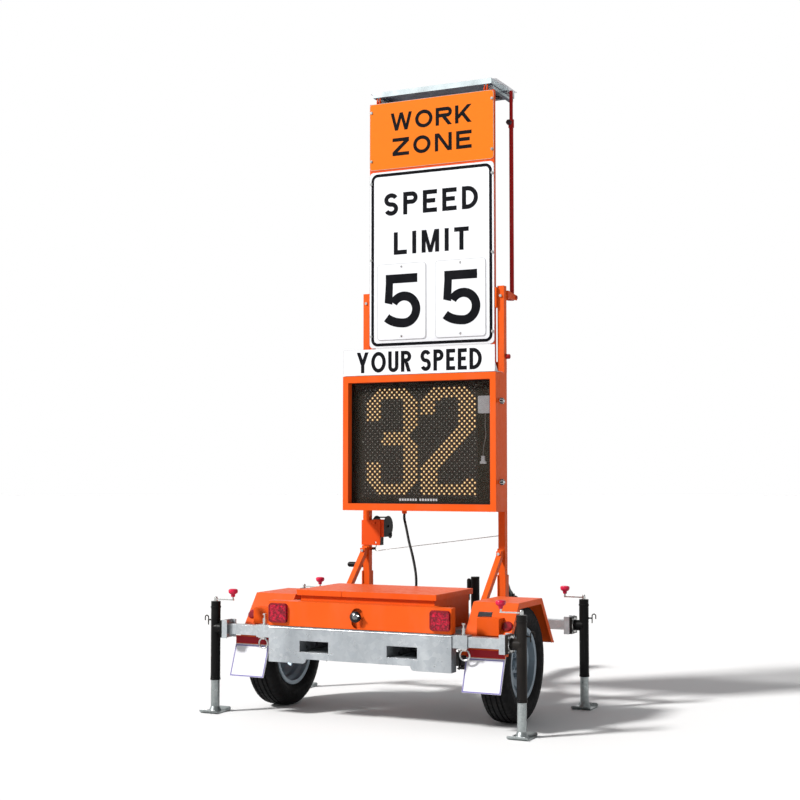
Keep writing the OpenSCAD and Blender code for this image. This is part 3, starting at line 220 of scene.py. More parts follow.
LEGEND = plain("legend_black", (0.003, 0.0035, 0.005), (0.006, 0.006, 0.008), 0.6, 0.0, 90, 0.03)
LEGEND.node_tree.nodes["Principled BSDF"].inputs["Specular IOR Level"].default_value = 0.04
CASE = plain("battery_case", (0.02, 0.02, 0.022), (0.035, 0.035, 0.035), 0.5, 0.0, 150, 0.2)
ELECTRONICS = plain("controller_case", (0.10, 0.12, 0.15), (0.07, 0.08, 0.1), 0.42, 0.3, 120, 0.1)
RADAR_PAINTED_GLOW = plain("radar_cover", (0.92, 0.93, 0.97), (0.84, 0.86, 0.90), 0.30, 0.0, 80, 0.04)
# painted light: the radar cover and its plug glow faintly white, though they hold no lamp
RADAR_PAINTED_GLOW.node_tree.nodes["Principled BSDF"].inputs["Emission Color"].default_value = (0.9, 0.91, 0.95, 1)
RADAR_PAINTED_GLOW.node_tree.nodes["Principled BSDF"].inputs["Emission Strength"].default_value = 0.35
FLAP = plain("flap_rubber", (0.62, 0.62, 0.65), (0.54, 0.54, 0.57), 0.48, 0.0, 60, 0.06)
FLAP_EDGE = plain("flap_edge", (0.13, 0.11, 0.30), (0.17, 0.15, 0.33), 0.4, 0.0, 90, 0.05)
ALU = plain("anodised_frame", (0.55, 0.62, 0.64), (0.46, 0.53, 0.55), 0.32, 0.5, 20, 0.02)
RIM = plain("rim_silver", (0.26, 0.32, 0.37), (0.20, 0.25, 0.29), 0.36, 0.35, 60, 0.05, coat=0.2)
KNOB = plain("knob_red", (0.56, 0.012, 0.055), (0.46, 0.008, 0.04), 0.32, 0.0, 90, 0.06, coat=0.3)
GRIP = plain("grip_rubber", (0.02, 0.02, 0.026), (0.035, 0.035, 0.04), 0.6, 0.0, 140, 0.25)
CABLE = plain("cable_jacket", (0.004, 0.004, 0.005), (0.010, 0.010, 0.010), 0.42, 0.0, 120, 0.12)
# painted shade: dark red sheeting for the strip over the clamp bar, in place of the shade on its orange
# paint
CLAMP_BAR_PAINTED_SHADE = sheeting("clamp_bar_painted_shade", (0.26, 0.005, 0.012), (0.17, 0.003, 0.008))
SEAL = plain("rubber_seal", (0.006, 0.006, 0.006), (0.013, 0.013, 0.013), 0.6, 0.0, 120, 0.2)


def tyre_material():
    s = Shader("tyre_rubber", Roughness=0.72)
    dust = s.span(s.noise(22, 5), 0.45, 0.75, 0.0, 0.35)
    s.link(s.mix(dust, (0.006, 0.006, 0.0065), (0.020, 0.019, 0.018)), "Base Color")
    s.link(s.span(s.noise(60, 3), 0.3, 0.7, 0.55, 0.8), "Roughness")
    s.bump(s.noise(700, 2), 0.25, 0.0006)
    return s.mat


def board_material():
    s = Shader("display_board", Roughness=0.55)
    s.link(s.mix(s.noise(4, 3), (0.030, 0.029, 0.034), (0.046, 0.044, 0.052)), "Base Color")
    s.link(s.span(s.noise(30, 3), 0.3, 0.7, 0.5, 0.65), "Roughness")
    s.bump(s.noise(90, 2), 0.04, 0.0003)
    return s.mat


def window_material():
    s = Shader("tinted_window", Roughness=0.06, IOR=1.40, Alpha=0.42)
    patches = s.span(s.noise(1.6, 3), 0.35, 0.7, 0, 1)
    s.link(s.mix(patches, (0.030, 0.027, 0.020), (0.042, 0.037, 0.029)), "Base Color")
    s.link(s.span(s.noise(30, 4), 0.4, 0.7, 0.04, 0.12), "Roughness")
    return s.mat


def lamp_material(name, core, ring, strength, rough=0.3):
    s = Shader(name, Roughness=rough)
    tone = s.mix(s.span(s.noise(500, 2), 0.3, 0.7, 0, 1), core, ring)
    s.link(tone, "Base Color")
    s.link(tone, "Emission Color")
    s.bsdf.inputs["Emission Strength"].default_value = strength
    return s.mat


# painted light: facets lighter at random stand in for glints, and lenses and reflectors glow faintly though
# no lamp is lit
def lens_material(name, light, dark, glow):
    s = Shader(name, Roughness=0.14, IOR=1.49)
    s.bsdf.inputs["Specular IOR Level"].default_value = 0.35
    facets = s.cells(150)
    painted_glint = s.add("ShaderNodeSeparateColor", {0: facets.outputs["Color"]}).outputs[0]
    patches = s.span(s.noise(50, 3), 0.3, 0.6, 0.35, 1)
    tint = s.mix(s.math("MULTIPLY", s.span(painted_glint, 0.15, 0.95, 0, 1), patches), dark, light)
    s.link(tint, "Base Color")
    s.link(tint, "Emission Color")
    s.bsdf.inputs["Emission Strength"].default_value = glow
    s.bump(facets.outputs["Distance"], 0.35, 0.001)
    return s.mat


def rope_material():
    s = Shader("wire_rope_steel", Metallic=0.9)
    wave = s.add("ShaderNodeTexWave", {"Vector": s.coords, "Scale": 60.0, "Distortion": 0.4},
                 bands_direction="DIAGONAL")
    s.link(s.mix(wave.outputs["Fac"], (0.30, 0.30, 0.29), (0.72, 0.72, 0.70)), "Base Color")
    s.link(s.span(wave.outputs["Fac"], 0, 1, 0.5, 0.28), "Roughness")
    s.bump(wave.outputs["Fac"], 0.6, 0.001)
    return s.mat


def cell_material():
    s = Shader("solar_cells", Metallic=0.2, Coat_Weight=1.0, Coat_Roughness=0.03, Roughness=0.25)
    patches = s.span(s.noise(14, 4), 0.4, 0.65, 0, 1)
    s.link(s.mix(patches, (0.006, 0.010, 0.030), (0.012, 0.020, 0.055)), "Base Color")
    s.bump(s.noise(300, 2), 0.05, 0.0003)
    return s.mat


TYRE = tyre_material()
BOARD = board_material()
WINDOW = window_material()
ROPE = rope_material()
CELL = cell_material()
LENS = lens_material("red_lens", (0.50, 0.004, 0.030), (0.10, 0.001, 0.008), 0.10)
REFLECTOR = lens_material("red_reflector", (0.26, 0.004, 0.012), (0.14, 0.002, 0.006), 0.02)
LIT = lamp_material("led_lit_rim", (0.95, 0.40, 0.07), (0.80, 0.28, 0.04), 0.95)
LIT_CORE = lamp_material("led_lit_core", (1.0, 0.80, 0.46), (1.0, 0.72, 0.34), 3.0)
# painted light: the unlit LEDs glow faintly pale though they are switched off
UNLIT_LED_PAINTED_GLOW = lamp_material("led_unlit", (0.75, 0.74, 0.72), (0.55, 0.54, 0.52), 0.42)
STATUS = lamp_material("led_status", (0.9, 0.9, 0.92), (0.7, 0.7, 0.74), 1.5)

FINISH = {
    "chassis_frame": GALV, "rear_bumper": GALV_PLATE, "axle_assembly": STEEL, "coupler_body": BLACK,
    "coupler_latch": STEEL, "tongue_jack_tube": BLACK, "tongue_jack_leg": ZINC, "tongue_jack_crank": STEEL,
    "battery_box": ORANGE, "battery_lid": ORANGE, "batteries": CASE, "charge_controller": ELECTRONICS,
    "locks": STEEL, "lamp_panel": ORANGE, "tail_lamps": LENS, "fender_left": ORANGE, "fender_right": ORANGE,
    "mud_flaps": FLAP, "rim_left": RIM, "rim_right": RIM, "mast_posts": ORANGE, "mast_bolts": ZINC,
    "collar_hardware": ZINC, "sign_frame": ORANGE_PAINTED_SHADE, "work_zone_plate": SIGN_ORANGE,
    "speed_limit_plate": SIGN_WHITE, "digit_plates": SIGN_WHITE, "sign_bolts": ZINC,
    "your_speed_plate": SIGN_WHITE, "led_cabinet": ORANGE, "led_door": ORANGE, "door_window": WINDOW,
    "led_board": BOARD, "radar_unit": RADAR_PAINTED_GLOW, "winch_frame": ORANGE_PAINTED_SHADE, "winch_drum": BLACK,
    "winch_crank": BLACK, "wire_rope": ROPE, "solar_panel": ALU,
    "strut_outer": MAROON, "strut_inner": MAROON, "power_cable": CABLE,
}
CORNERS = ("rear_left", "rear_right", "front_left", "front_right")
LEG_ZINC = zinc("leg_zinc", (0.38, 0.41, 0.41), (0.25, 0.28, 0.28), 0.30, 120, 0.85, 1.5)
for corner in CORNERS:
    FINISH["arm_" + corner] = GALV
    FINISH["jack_" + corner] = BLACK
    FINISH["leg_" + corner] = LEG_ZINC
    FINISH["crank_" + corner] = ZINC
for name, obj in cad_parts.items():
    obj.data.materials.clear()
    obj.data.materials.append(FINISH.get(name, TYRE))


def tone(node, material, test):
    """Gives another material to the faces of a CAD node that pass a test.

    The test takes the face's centre in millimetres from the axle, and its normal.
    """
    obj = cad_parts[node]
    obj.data.materials.append(material)
    slot_number = len(obj.data.materials) - 1
    for face in obj.data.polygons:
        c = obj.matrix_world @ face.center
        if test(c.x * 1000, (c.y - SHIFT) * 1000, c.z * 1000, face.normal):
            face.material_index = slot_number


PANEL_PAINTED_SHADE = plain("panel_underside_painted_shade", (0.030, 0.036, 0.055), (0.045, 0.052, 0.075), 0.5, 0.0, 60, 0.05)
LINER = plain("cabinet_liner", (0.020, 0.019, 0.016), (0.030, 0.028, 0.024), 0.55, 0.0, 60, 0.05)
tone("led_cabinet", LINER, lambda x, y, z, n: abs(x) < 455 and y < 433.5 and 1036 < z < 1778)
tone("tail_lamps", REFLECTOR, lambda x, y, z, n: abs(x) > 600)
tone("winch_frame", BLACK, lambda x, y, z, n: x > -378 and y > 486.5)
# painted shade: the panel's downward faces, its frame flange included, and its low rear faces get a dark
# blue-grey
tone("solar_panel", PANEL_PAINTED_SHADE, lambda x, y, z, n: n.z < -0.5 or (abs(n.z) < 0.5 and z < 3398 and n.y > 0.5))


# Mesh helpers -------------------------------------------------------------------

def piece(name, verts, faces, material, body, slot=None, smooth=False, bevel=0.0, mats=None, index=None):
    mesh = bpy.data.meshes.new(name)
    mesh.from_pydata([tuple(v) for v in verts], [], faces)
    mesh.validate()
    obj = bpy.data.objects.new(name, mesh)
    bpy.context.scene.collection.objects.link(obj)
    for m in mats or [material]:
        mesh.materials.append(m)
    if index:
        mesh.polygons.foreach_set("material_index", index)
    if smooth:
        mesh.polygons.foreach_set("use_smooth", [True] * len(mesh.polygons))
    if bevel:
        made = obj.modifiers.new("bevel", "BEVEL")
        made.width, made.segments, made.limit_method = bevel, 2, "ANGLE"
    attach(obj, body)
    return obj


def lathe_faces(steps, n):
    """Faces round an open profile of n points turned in steps."""
    return [(s * n + i, (s + 1) % steps * n + i, (s + 1) % steps * n + i + 1, s * n + i + 1)
            for s in range(steps) for i in range(n - 1)]


class Build:
    """Collects several shapes into one mesh, in millimetres from the axle."""

    def __init__(self):
        self.verts, self.faces = [], []

    def take(self, verts, faces):
        n = len(self.verts)
        self.verts += verts
        self.faces += [tuple(i + n for i in f) for f in faces]

    def block(self, x0, x1, y0, y1, z0, z1):
        corners = [(x, y, z) for z in (z0, z1) for y in (y0, y1) for x in (x0, x1)]
        self.take(corners, [(0, 2, 3, 1), (4, 5, 7, 6), (0, 1, 5, 4),
                            (2, 6, 7, 3), (0, 4, 6, 2), (1, 3, 7, 5)])

    def prism(self, outline, y0, y1):
        """A closed x-z outline, filled, from y0 (front) to y1."""
        n = len(outline)
        verts = [(x, y0, z) for x, z in outline] + [(x, y1, z) for x, z in outline]
        self.take(verts, [tuple(range(n)), tuple(reversed(range(n, 2 * n)))]
                  + [(i, i + n, (i + 1) % n + n, (i + 1) % n) for i in range(n)])

    def turned(self, profile, centre, axis="z", steps=24, closed=False):
        """Revolves (radius, height) pairs about an axis through centre."""
        rows = []
        for k in range(steps):
            a = 2 * math.pi * k / steps
            c, s = math.cos(a), math.sin(a)
            for r, h in profile:
                local = {"z": (r * c, r * s, h), "y": (r * c, h, r * s), "x": (h, r * c, r * s)}[axis]
                rows.append(tuple(p + q for p, q in zip(local, centre)))
        n = len(profile)
        faces = []
        for k in range(steps):
            j = (k + 1) % steps
            for i in range(n if closed else n - 1):
                m = (i + 1) % n
                faces.append((k * n + i, j * n + i, j * n + m, k * n + m))
        self.take(rows, faces)

    def tube(self, route, radius, sides=8, closed=False):
        """A round bar along a route of points."""
        n = len(route)
        pts = [Vector(p) for p in route]
        rows = []
        last = None
        for i, p in enumerate(pts):
            ahead = pts[(i + 1) % n] if closed or i < n - 1 else p
            behind = pts[i - 1] if closed or i > 0 else p
            t = (ahead - behind).normalized()
            u = (last - t * last.dot(t)) if last is not None else t.orthogonal()
            u.normalize()
            last = u
            v = t.cross(u)
            for k in range(sides):
                a = 2 * math.pi * k / sides
                rows.append(tuple(p + radius * (math.cos(a) * u + math.sin(a) * v)))
        faces = [(i * sides + k, ((i + 1) % n) * sides + k, ((i + 1) % n) * sides + (k + 1) % sides,
                  i * sides + (k + 1) % sides) for i in range(n if closed else n - 1) for k in range(sides)]
        if not closed:
            faces += [tuple(reversed(range(sides))), tuple(range((n - 1) * sides, n * sides))]
        self.take(rows, faces)

    def done(self, name, material, body, slot=None, **kw):
        return piece(name, [at(*v) for v in self.verts], self.faces, material, body, slot, **kw)


def box_mm(node):
    """A CAD node's box in millimetres from the axle."""
    return [(p.x * 1000, (p.y - SHIFT) * 1000, p.z * 1000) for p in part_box(node)]


# Cords --------------------------------------------------------------------------

def spline(points, steps):
    out = []
    for i in range(len(points) - 1):
        a, b, c, d = (Vector(points[max(0, min(len(points) - 1, i + k))]) for k in (-1, 0, 1, 2))
        for k in range(steps):
            t = k / steps
            out.append(0.5 * (2 * b + (c - a) * t + (2 * a - 5 * b + 4 * c - d) * t * t
                              + (3 * b - a - 3 * c + d) * t ** 3))
    return out + [Vector(points[-1])]


cable_route = spline([(-116, 370, 1038), (-116, 370, 1014), (-116, 370, 990), (-90, 340, 940),
                      (-55, 300, 870), (-20, 268, 800), (8, 238, 740), (28, 212, 690), (38, 192, 640),
                      (40, 172, 605), (40, 146, 590), (40, 124, 590), (40, 104, 590)], 8)
rope_route = spline([(-340, 521, 922), (-350, 512, 860), (-362, 507, 812), (-352, 505, 803),
                     (-300, 505, 810), (-150, 505, 830), (0, 505, 849), (150, 505, 869), (300, 505, 889),
                     (391, 505, 901)], 8)

b = Build()
b.tube(cable_route, 7.0, 16)
cable = b.done("power_lead", CABLE, "trailer", "cable_rubber", smooth=True)
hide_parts("power_cable")
b = Build()
for strand in range(6):
    twist = []
    run = 0.0
    for i, p in enumerate(rope_route):
        t = (rope_route[min(i + 1, len(rope_route) - 1)] - rope_route[max(i - 1, 0)]).normalized()
        u = t.cross(Vector((0, 1, 0))).normalized()
        v = t.cross(u)
        if i:
            run += (p - rope_route[i - 1]).length
        a = run / 9.0 + strand * math.pi / 3
        twist.append(p + 1.65 * (math.cos(a) * u + math.sin(a) * v))
    b.tube(twist, 0.84, 5)
rope = b.done("winch_rope", ROPE, "trailer", "rope_steel", smooth=True)
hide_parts("wire_rope")


# Lettering: an own stroke alphabet --------------------------------------------------

def arc(cx, cy, rx, ry, a0, a1, n=14):
    return [(cx + rx * math.cos(math.radians(a0 + (a1 - a0) * k / n)),
             cy + ry * math.sin(math.radians(a0 + (a1 - a0) * k / n))) for k in range(n + 1)]


def slant(x0, z0, x1, z1, t):
    """A straight stroke cut level at both ends."""
    half = t * math.hypot(x1 - x0, z1 - z0) / abs(z1 - z0) / 2
    return [(x0 - half, z0), (x0 + half, z0), (x1 + half, z1), (x1 - half, z1)]


def bar(x0, z0, x1, z1):
    return [(x0, z0), (x1, z0), (x1, z1), (x0, z1)]


def band(points, t):
    """A curved stroke as a row of quads with square ends."""
    pts = [Vector(p) for p in points]
    closed = (pts[0] - pts[-1]).length < 1e-6
    sides = []
    for i, p in enumerate(pts):
        before = pts[i - 1] if i else (pts[-2] if closed else p)
        after = pts[i + 1] if i < len(pts) - 1 else (pts[1] if closed else p)
        d = (after - before).normalized()
        n = Vector((-d.y, d.x)) * t / 2
        sides.append((p + n, p - n))
    return [[tuple(a), tuple(c), tuple(d), tuple(b)] for (a, b), (c, d) in zip(sides, sides[1:])]


def glyph(ch, w, h, t):
    """Flat shapes of one capital, w wide and h high with strokes t thick, from its lower left corner."""
    e = t / 2
    top, mid = bar(0, h - t, w, h), h * 0.52
    if ch == "I":
        return [bar(0, 0, t, h)]
    if ch == "L":
        return [bar(0, 0, t, h), bar(t, 0, w, t)]
    if ch == "T":
        return [top, bar(w / 2 - e, 0, w / 2 + e, h - t)]
    if ch == "E":
        return [bar(0, 0, t, h), bar(t, 0, w, t), bar(t, h - t, w, h), bar(t, mid - e, w * 0.88, mid + e)]
    if ch == "Z":
        return [top, bar(0, 0, w, t), slant(t * 0.75, t, w - t * 0.75, h - t, t * 1.05)]
    if ch == "N":
        return [bar(0, 0, t, h), bar(w - t, 0, w, h), slant(w - t * 0.72, 0, t * 0.72, h, t * 0.95)]
    if ch == "M":
        return [bar(0, 0, t, h), bar(w - t, 0, w, h), slant(w / 2, 0, t * 0.72, h, t * 0.85),
                slant(w / 2, 0, w - t * 0.72, h, t * 0.85)]
    if ch == "W":
        q, u = w * 0.28, t * 0.92
        return [slant(q, 0, e * 1.1, h, u), slant(q, 0, w / 2, h, u), slant(w - q, 0, w / 2, h, u),
                slant(w - q, 0, w - e * 1.1, h, u)]
    if ch == "Y":
        return [bar(w / 2 - e, 0, w / 2 + e, h * 0.42), slant(w / 2, h * 0.38, e * 1.15, h, t),
                slant(w / 2, h * 0.38, w - e * 1.15, h, t)]
    if ch == "K":
        return [bar(0, 0, t, h), slant(t * 0.55, h * 0.27, w - t * 0.75, h, t * 0.95),
                slant(w - t * 0.7, 0, w * 0.40, h * 0.60, t)]
    if ch in "PR":
        r = h * 0.275 - e
        bowl = band([(t, h - e), (w - r - e, h - e)] + arc(w - r - e, h - e - r, r, r, 90, -90, 20)
                    + [(t, h - e - 2 * r)], t)
        leg = [slant(w - t * 0.62, 0, w * 0.52, h - 2 * r - t, t)] if ch == "R" else []
        return [bar(0, 0, t, h)] + bowl + leg
    if ch == "D":
        r = min(w - t, h / 2 - e)
        side = max(w - e - r, t)
        bowl = arc(side, h / 2, w - e - side, h / 2 - e, 90, -90, 28)
        return [bar(0, 0, t, h)] + band([(t, h - e), (side, h - e)] + bowl + [(t, e)], t)
    if ch == "O":
        return band(arc(w / 2, h / 2, w / 2 - e, h / 2 - e, 0, 360, 44), t)
    if ch == "U":
        r = w / 2 - e
        bowl = band(arc(w / 2, r + e, r, r, 180, 360, 24), t)
        return [bar(0, r + e, t, h), bar(w - t, r + e, w, h)] + bowl
    if ch == "S":
        r, q = w / 2 - e, (h - t) / 4
        return band(arc(w / 2, h - e - q, r, q, 24, 268, 24) + arc(w / 2, e + q, r, q, 88, -156, 24), t)
    if ch == "5":
        r, cx = h * 0.335 - e, w - h * 0.335
        stem = [(w * 0.035, h * 0.475), (w * 0.035 + t * 0.95, h * 0.435),
                (w * 0.075 + t * 0.85, h - t), (w * 0.065, h - t)]
        return [bar(w * 0.065, h - t, w * 0.92, h), stem] \
            + band(arc(cx, r + e, r, r, 150, -90, 40) + arc(cx, r + e, r * 1.7, r, -90, -147, 16)[1:], t)
    return []


def letters(name, lines, y, body, depth=0.5, material=LEGEND):
    """Words on a face at y.

    lines holds (word, left x, right x, baseline z, cap height, stroke, each letter's width over the cap).
    """
    verts, faces = [], []
    for word, x0, x1, z0, cap, stroke, widths in lines:
        total = sum(widths.get(ch, 0.6) * cap for ch in word)
        gap = (x1 - x0 - total) / max(len(word) - 1, 1)
        x = x0
        for ch in word:
            wide = widths.get(ch, 0.6) * cap
            for k, shape in enumerate(glyph(ch, wide, cap, stroke)):
                front = y - depth - 0.004 * k
                n, m = len(verts), len(shape)
                verts += [at(x + px, front, z0 + pz) for px, pz in shape]
                verts += [at(x + px, y - 0.02, z0 + pz) for px, pz in shape]
                faces += [tuple(range(n, n + m))]
                faces += [(n + i, n + m + i, n + m + (i + 1) % m, n + (i + 1) % m) for i in range(m)]
            x += wide + gap
    return piece(name, verts, faces, material, body)


def ring(name, x0, x1, z0, z1, width, radius, y, body, material=LEGEND, depth=0.5):
    """A rounded rectangular border line."""
    def loop(inset):
        r = max(radius - inset, 2)
        out = []
        for cx, cz, a in ((x1 - radius, z1 - radius, 0), (x0 + radius, z1 - radius, 90),
                          (x0 + radius, z0 + radius, 180), (x1 - radius, z0 + radius, 270)):
            out += arc(cx, cz, r, r, a, a + 90, 8)
        return out
    outer, inner = loop(0), loop(width)
    n = len(outer)
    verts = [at(x, y - depth, z) for x, z in outer + inner] + [at(x, y - 0.02, z) for x, z in outer + inner]
    faces = []
    for i in range(n):
        j = (i + 1) % n
        faces += [(i, j, n + j, n + i), (i, 2 * n + i, 2 * n + j, j), (n + i, n + j, 3 * n + j, 3 * n + i)]
    return piece(name, verts, faces, material, body)


EDGE = plain("plate_edge_grey", (0.36, 0.36, 0.37), (0.30, 0.30, 0.31), 0.4, 0.3, 90, 0.05)
lo, hi = box_mm("speed_limit_plate")
face = lo[1]
WIDE = {"S": 0.68, "P": 0.70, "E": 0.68, "D": 0.75, "L": 0.64, "I": 0.195, "M": 0.84, "T": 0.68}
letters("speed_limit_legend", [
    ("SPEED", -288, 287, hi[2] - 255, 128, 25, WIDE),
    ("LIMIT", -228, 231, hi[2] - 480, 128, 25, WIDE)], face, "sign")
ring("speed_limit_border", lo[0] + 11, hi[0] - 11, lo[2] + 11, hi[2] - 11, 17, 40, face, "sign")
lo, hi = box_mm("digit_plates")
letters("limit_digits", [
    ("5", lo[0] + 40, lo[0] + 275, lo[2] + 68, 303, 51, {"5": 0.76}),
    ("5", hi[0] - 262, hi[0] - 28, lo[2] + 68, 303, 51, {"5": 0.76})], lo[1], "sign")
for k, x in enumerate((lo[0], hi[0] - 304)):
    ring("digit_plate_edge_%d" % k, x + 0.5, x + 303.5, lo[2] + 0.5, hi[2] - 0.5, 2.2, 20,
         lo[1], "sign", EDGE, 0.12)
lo, hi = box_mm("work_zone_plate")
BROAD = {"W": 1.34, "O": 1.06, "R": 0.98, "K": 1.00, "Z": 1.02, "N": 1.02, "E": 0.92}
letters("work_zone_legend", [
    ("WORK", -249, 252, lo[2] + 218, 101, 20, BROAD),
    ("ZONE", -236, 250, lo[2] + 73, 101, 20, BROAD)], lo[1], "sign")
lo, hi = box_mm("your_speed_plate")
NARROW = {"Y": 0.66, "O": 0.78, "U": 0.54, "R": 0.54, "S": 0.54, "P": 0.52, "E": 0.46, "D": 0.62, " ": 0.22}
letters("your_speed_legend", [("YOUR SPEED", -372, 379, lo[2] + 14, 115, 21, NARROW)], lo[1], "trailer")


for name, node, width, radius, body in (("work_zone_edge", "work_zone_plate", 1.6, 18, "sign"),
                                        ("speed_limit_edge", "speed_limit_plate", 1.6, 24, "sign"),
                                        ("your_speed_edge", "your_speed_plate", 1.8, 3, "trailer")):
    lo, hi = box_mm(node)
    ring(name, lo[0] + 0.3, hi[0] - 0.3, lo[2] + 0.3, hi[2] - 0.3, width, radius, lo[1], body, EDGE, 0.12)


# Display --------------------------------------------------------------------------

def inside(poly, x, y):
    hit = False
    for (ax, ay), (bx, by) in zip(poly, poly[1:] + poly[:1]):
        if (ay > y) != (by > y) and x < (bx - ax) * (y - ay) / (by - ay) + ax:
            hit = not hit
    return hit


# outlines of the two digits, in columns and rows of half steps from the digit's upper left
THREE = [(4.6, -0.5), (17.4, -0.5), (21.4, 3.4), (21.4, 13.8), (18.8, 17.0), (18.4, 18.2), (21.4, 21.2),
         (21.4, 33.8), (17.2, 38.5), (4.8, 38.5), (0.8, 34.2), (0.8, 26.6), (6.7, 26.6), (6.7, 33.0),
         (8.3, 34.5), (14.0, 34.5), (15.4, 33.0), (15.4, 20.7), (8.2, 20.7), (6.0, 18.3), (8.2, 15.5),
         (15.4, 15.5), (15.4, 4.6), (13.9, 3.4), (8.3, 3.4), (6.7, 4.8), (6.7, 11.4), (0.8, 11.4),
         (0.8, 4.0)]
TWO = [(4.1, -0.5), (17.2, -0.5), (21.3, 3.6), (21.3, 15.2), (6.2, 29.8), (6.2, 34.6), (15.2, 34.6),
       (16.6, 32.6), (21.6, 32.6), (21.6, 38.5), (0.0, 38.5), (0.0, 27.6), (15.2, 13.2), (15.2, 4.6),
       (13.8, 3.4), (8.0, 3.4), (5.9, 5.2), (5.9, 9.6), (-0.4, 9.6), (-0.4, 4.2)]


def dots(name, spots, radius, high, y, material):
    verts, faces = [], []
    for x, z in spots:
        n = len(verts)
        for rr, hh in ((1.0, 0.0), (0.70, 0.62), (0.38, 0.95)):
            for k in range(8):
                a, r = k * math.pi / 4, radius * rr
                verts.append(at(x + r * math.cos(a), y - high * hh, z + r * math.sin(a)))
        verts.append(at(x, y - high, z))
        for ringed in range(2):
            faces += [(n + ringed * 8 + k, n + ringed * 8 + (k + 1) % 8, n + ringed * 8 + 8 + (k + 1) % 8,
                       n + ringed * 8 + 8 + k) for k in range(8)]
        faces += [(n + 16 + k, n + 16 + (k + 1) % 8, n + 24) for k in range(8)]
    tones = material if isinstance(material, tuple) else (material,)
    index = ([0] * 8 + [len(tones) - 1] * 16) * len(spots)
    return piece(name, verts, faces, None, "trailer", smooth=True, mats=list(tones), index=index)


lo, hi = box_mm("led_board")
ROWS, COLUMNS = 39, 45
STEP_X, STEP_Z = 15.0, 15.1
lit, dim = [], []
for r in range(ROWS):
    for c in range(COLUMNS):
        if (r + c) % 2:
            continue
        x, z = lo[0] + 24 + c * STEP_X, hi[2] - 22 - r * STEP_Z
        on = inside(THREE, c, r) if c < 22 else inside(TWO, c - 22.8, r)
        (lit if on else dim).append((x, z))
dots("display_lit_dots", lit, 6.5, 4.0, lo[1], (LIT, LIT_CORE))
dots("display_dark_dots", dim, 2.9, 3.0, lo[1], UNLIT_LED_PAINTED_GLOW)
b = Build()
for k in range(14):
    x = -134 + k * 16 + (10 if k > 6 else 0)
    b.prism([(x, 1089), (x + 10, 1089), (x + 10, 1101), (x, 1101)], 341.5, 344)
b.done("display_status_row", STATUS, "trailer", "radar_white")
b = Build()
for x in (-362, 318):
    for z in (lo[2] + 10, (lo[2] + hi[2]) / 2, hi[2] - 10):
        b.turned([(0.01, -3), (3.4, -2.6), (4.6, -1.2), (4.8, 0)], (x, lo[1], z), "y", 12)
b.done("board_screws", ZINC, "trailer", "zinc_bolt", smooth=True)

lo, hi = box_mm("radar_unit")
b = Build()
cx, cz = (lo[0] + hi[0]) / 2, (lo[2] + hi[2]) / 2
for z in (lo[2] + 7, hi[2] - 7):
    for x in (lo[0] + 7, hi[0] - 7):
        b.turned([(0.01, -1.2), (2.4, -1.0), (3.0, 0)], (x, lo[1], z), "y", 10)
b.turned([(0.01, -1.0), (16, -0.9), (18, -0.4), (19, 0)], (cx, lo[1], cz), "y", 24)
b.done("radar_cover_detail", RADAR_PAINTED_GLOW, "trailer", "radar_white", smooth=True)

# seal round the window, fixed to the door
lo, hi = box_mm("door_window")
ring("window_seal", lo[0], hi[0], lo[2], hi[2], 7, 10, lo[1], "door", SEAL, 3.0)


# Tail lamps -------------------------------------------------------------------------

for side, name in ((-LAMP_X, "left"), (LAMP_X, "right")):
    verts, faces = [], []
    n = 20
    w, h = 43, 39
    for j in range(n + 1):
        for i in range(n + 1):
            u, v = i / n * 2 - 1, j / n * 2 - 1
            crown = 2.2 * (1 - u * u) * (1 - v * v)
            relief = 1.1 * abs(math.sin(u * 11) * math.sin(v * 11))
            round_in = 1 if abs(u) ** 8 + abs(v) ** 8 < 1.0 else 0
            verts.append(at(side + u * w, LAMP_FACE - (crown + relief) * round_in - 0.3, LAMP_Z + v * h))
    for j in range(n):
        for i in range(n):
            a = j * (n + 1) + i
            faces.append((a, a + 1, a + n + 2, a + n + 1))
    piece("tail_lens_" + name, verts, faces, LENS, "trailer", "red_lens", smooth=True)
    ring("tail_lamp_rim_" + name, side - 51, side + 51, LAMP_Z - 47, LAMP_Z + 47, 6, 14, LAMP_FACE + 0.2,
         "trailer", REFLECTOR, 1.6)


# Tyres ------------------------------------------------------------------------------

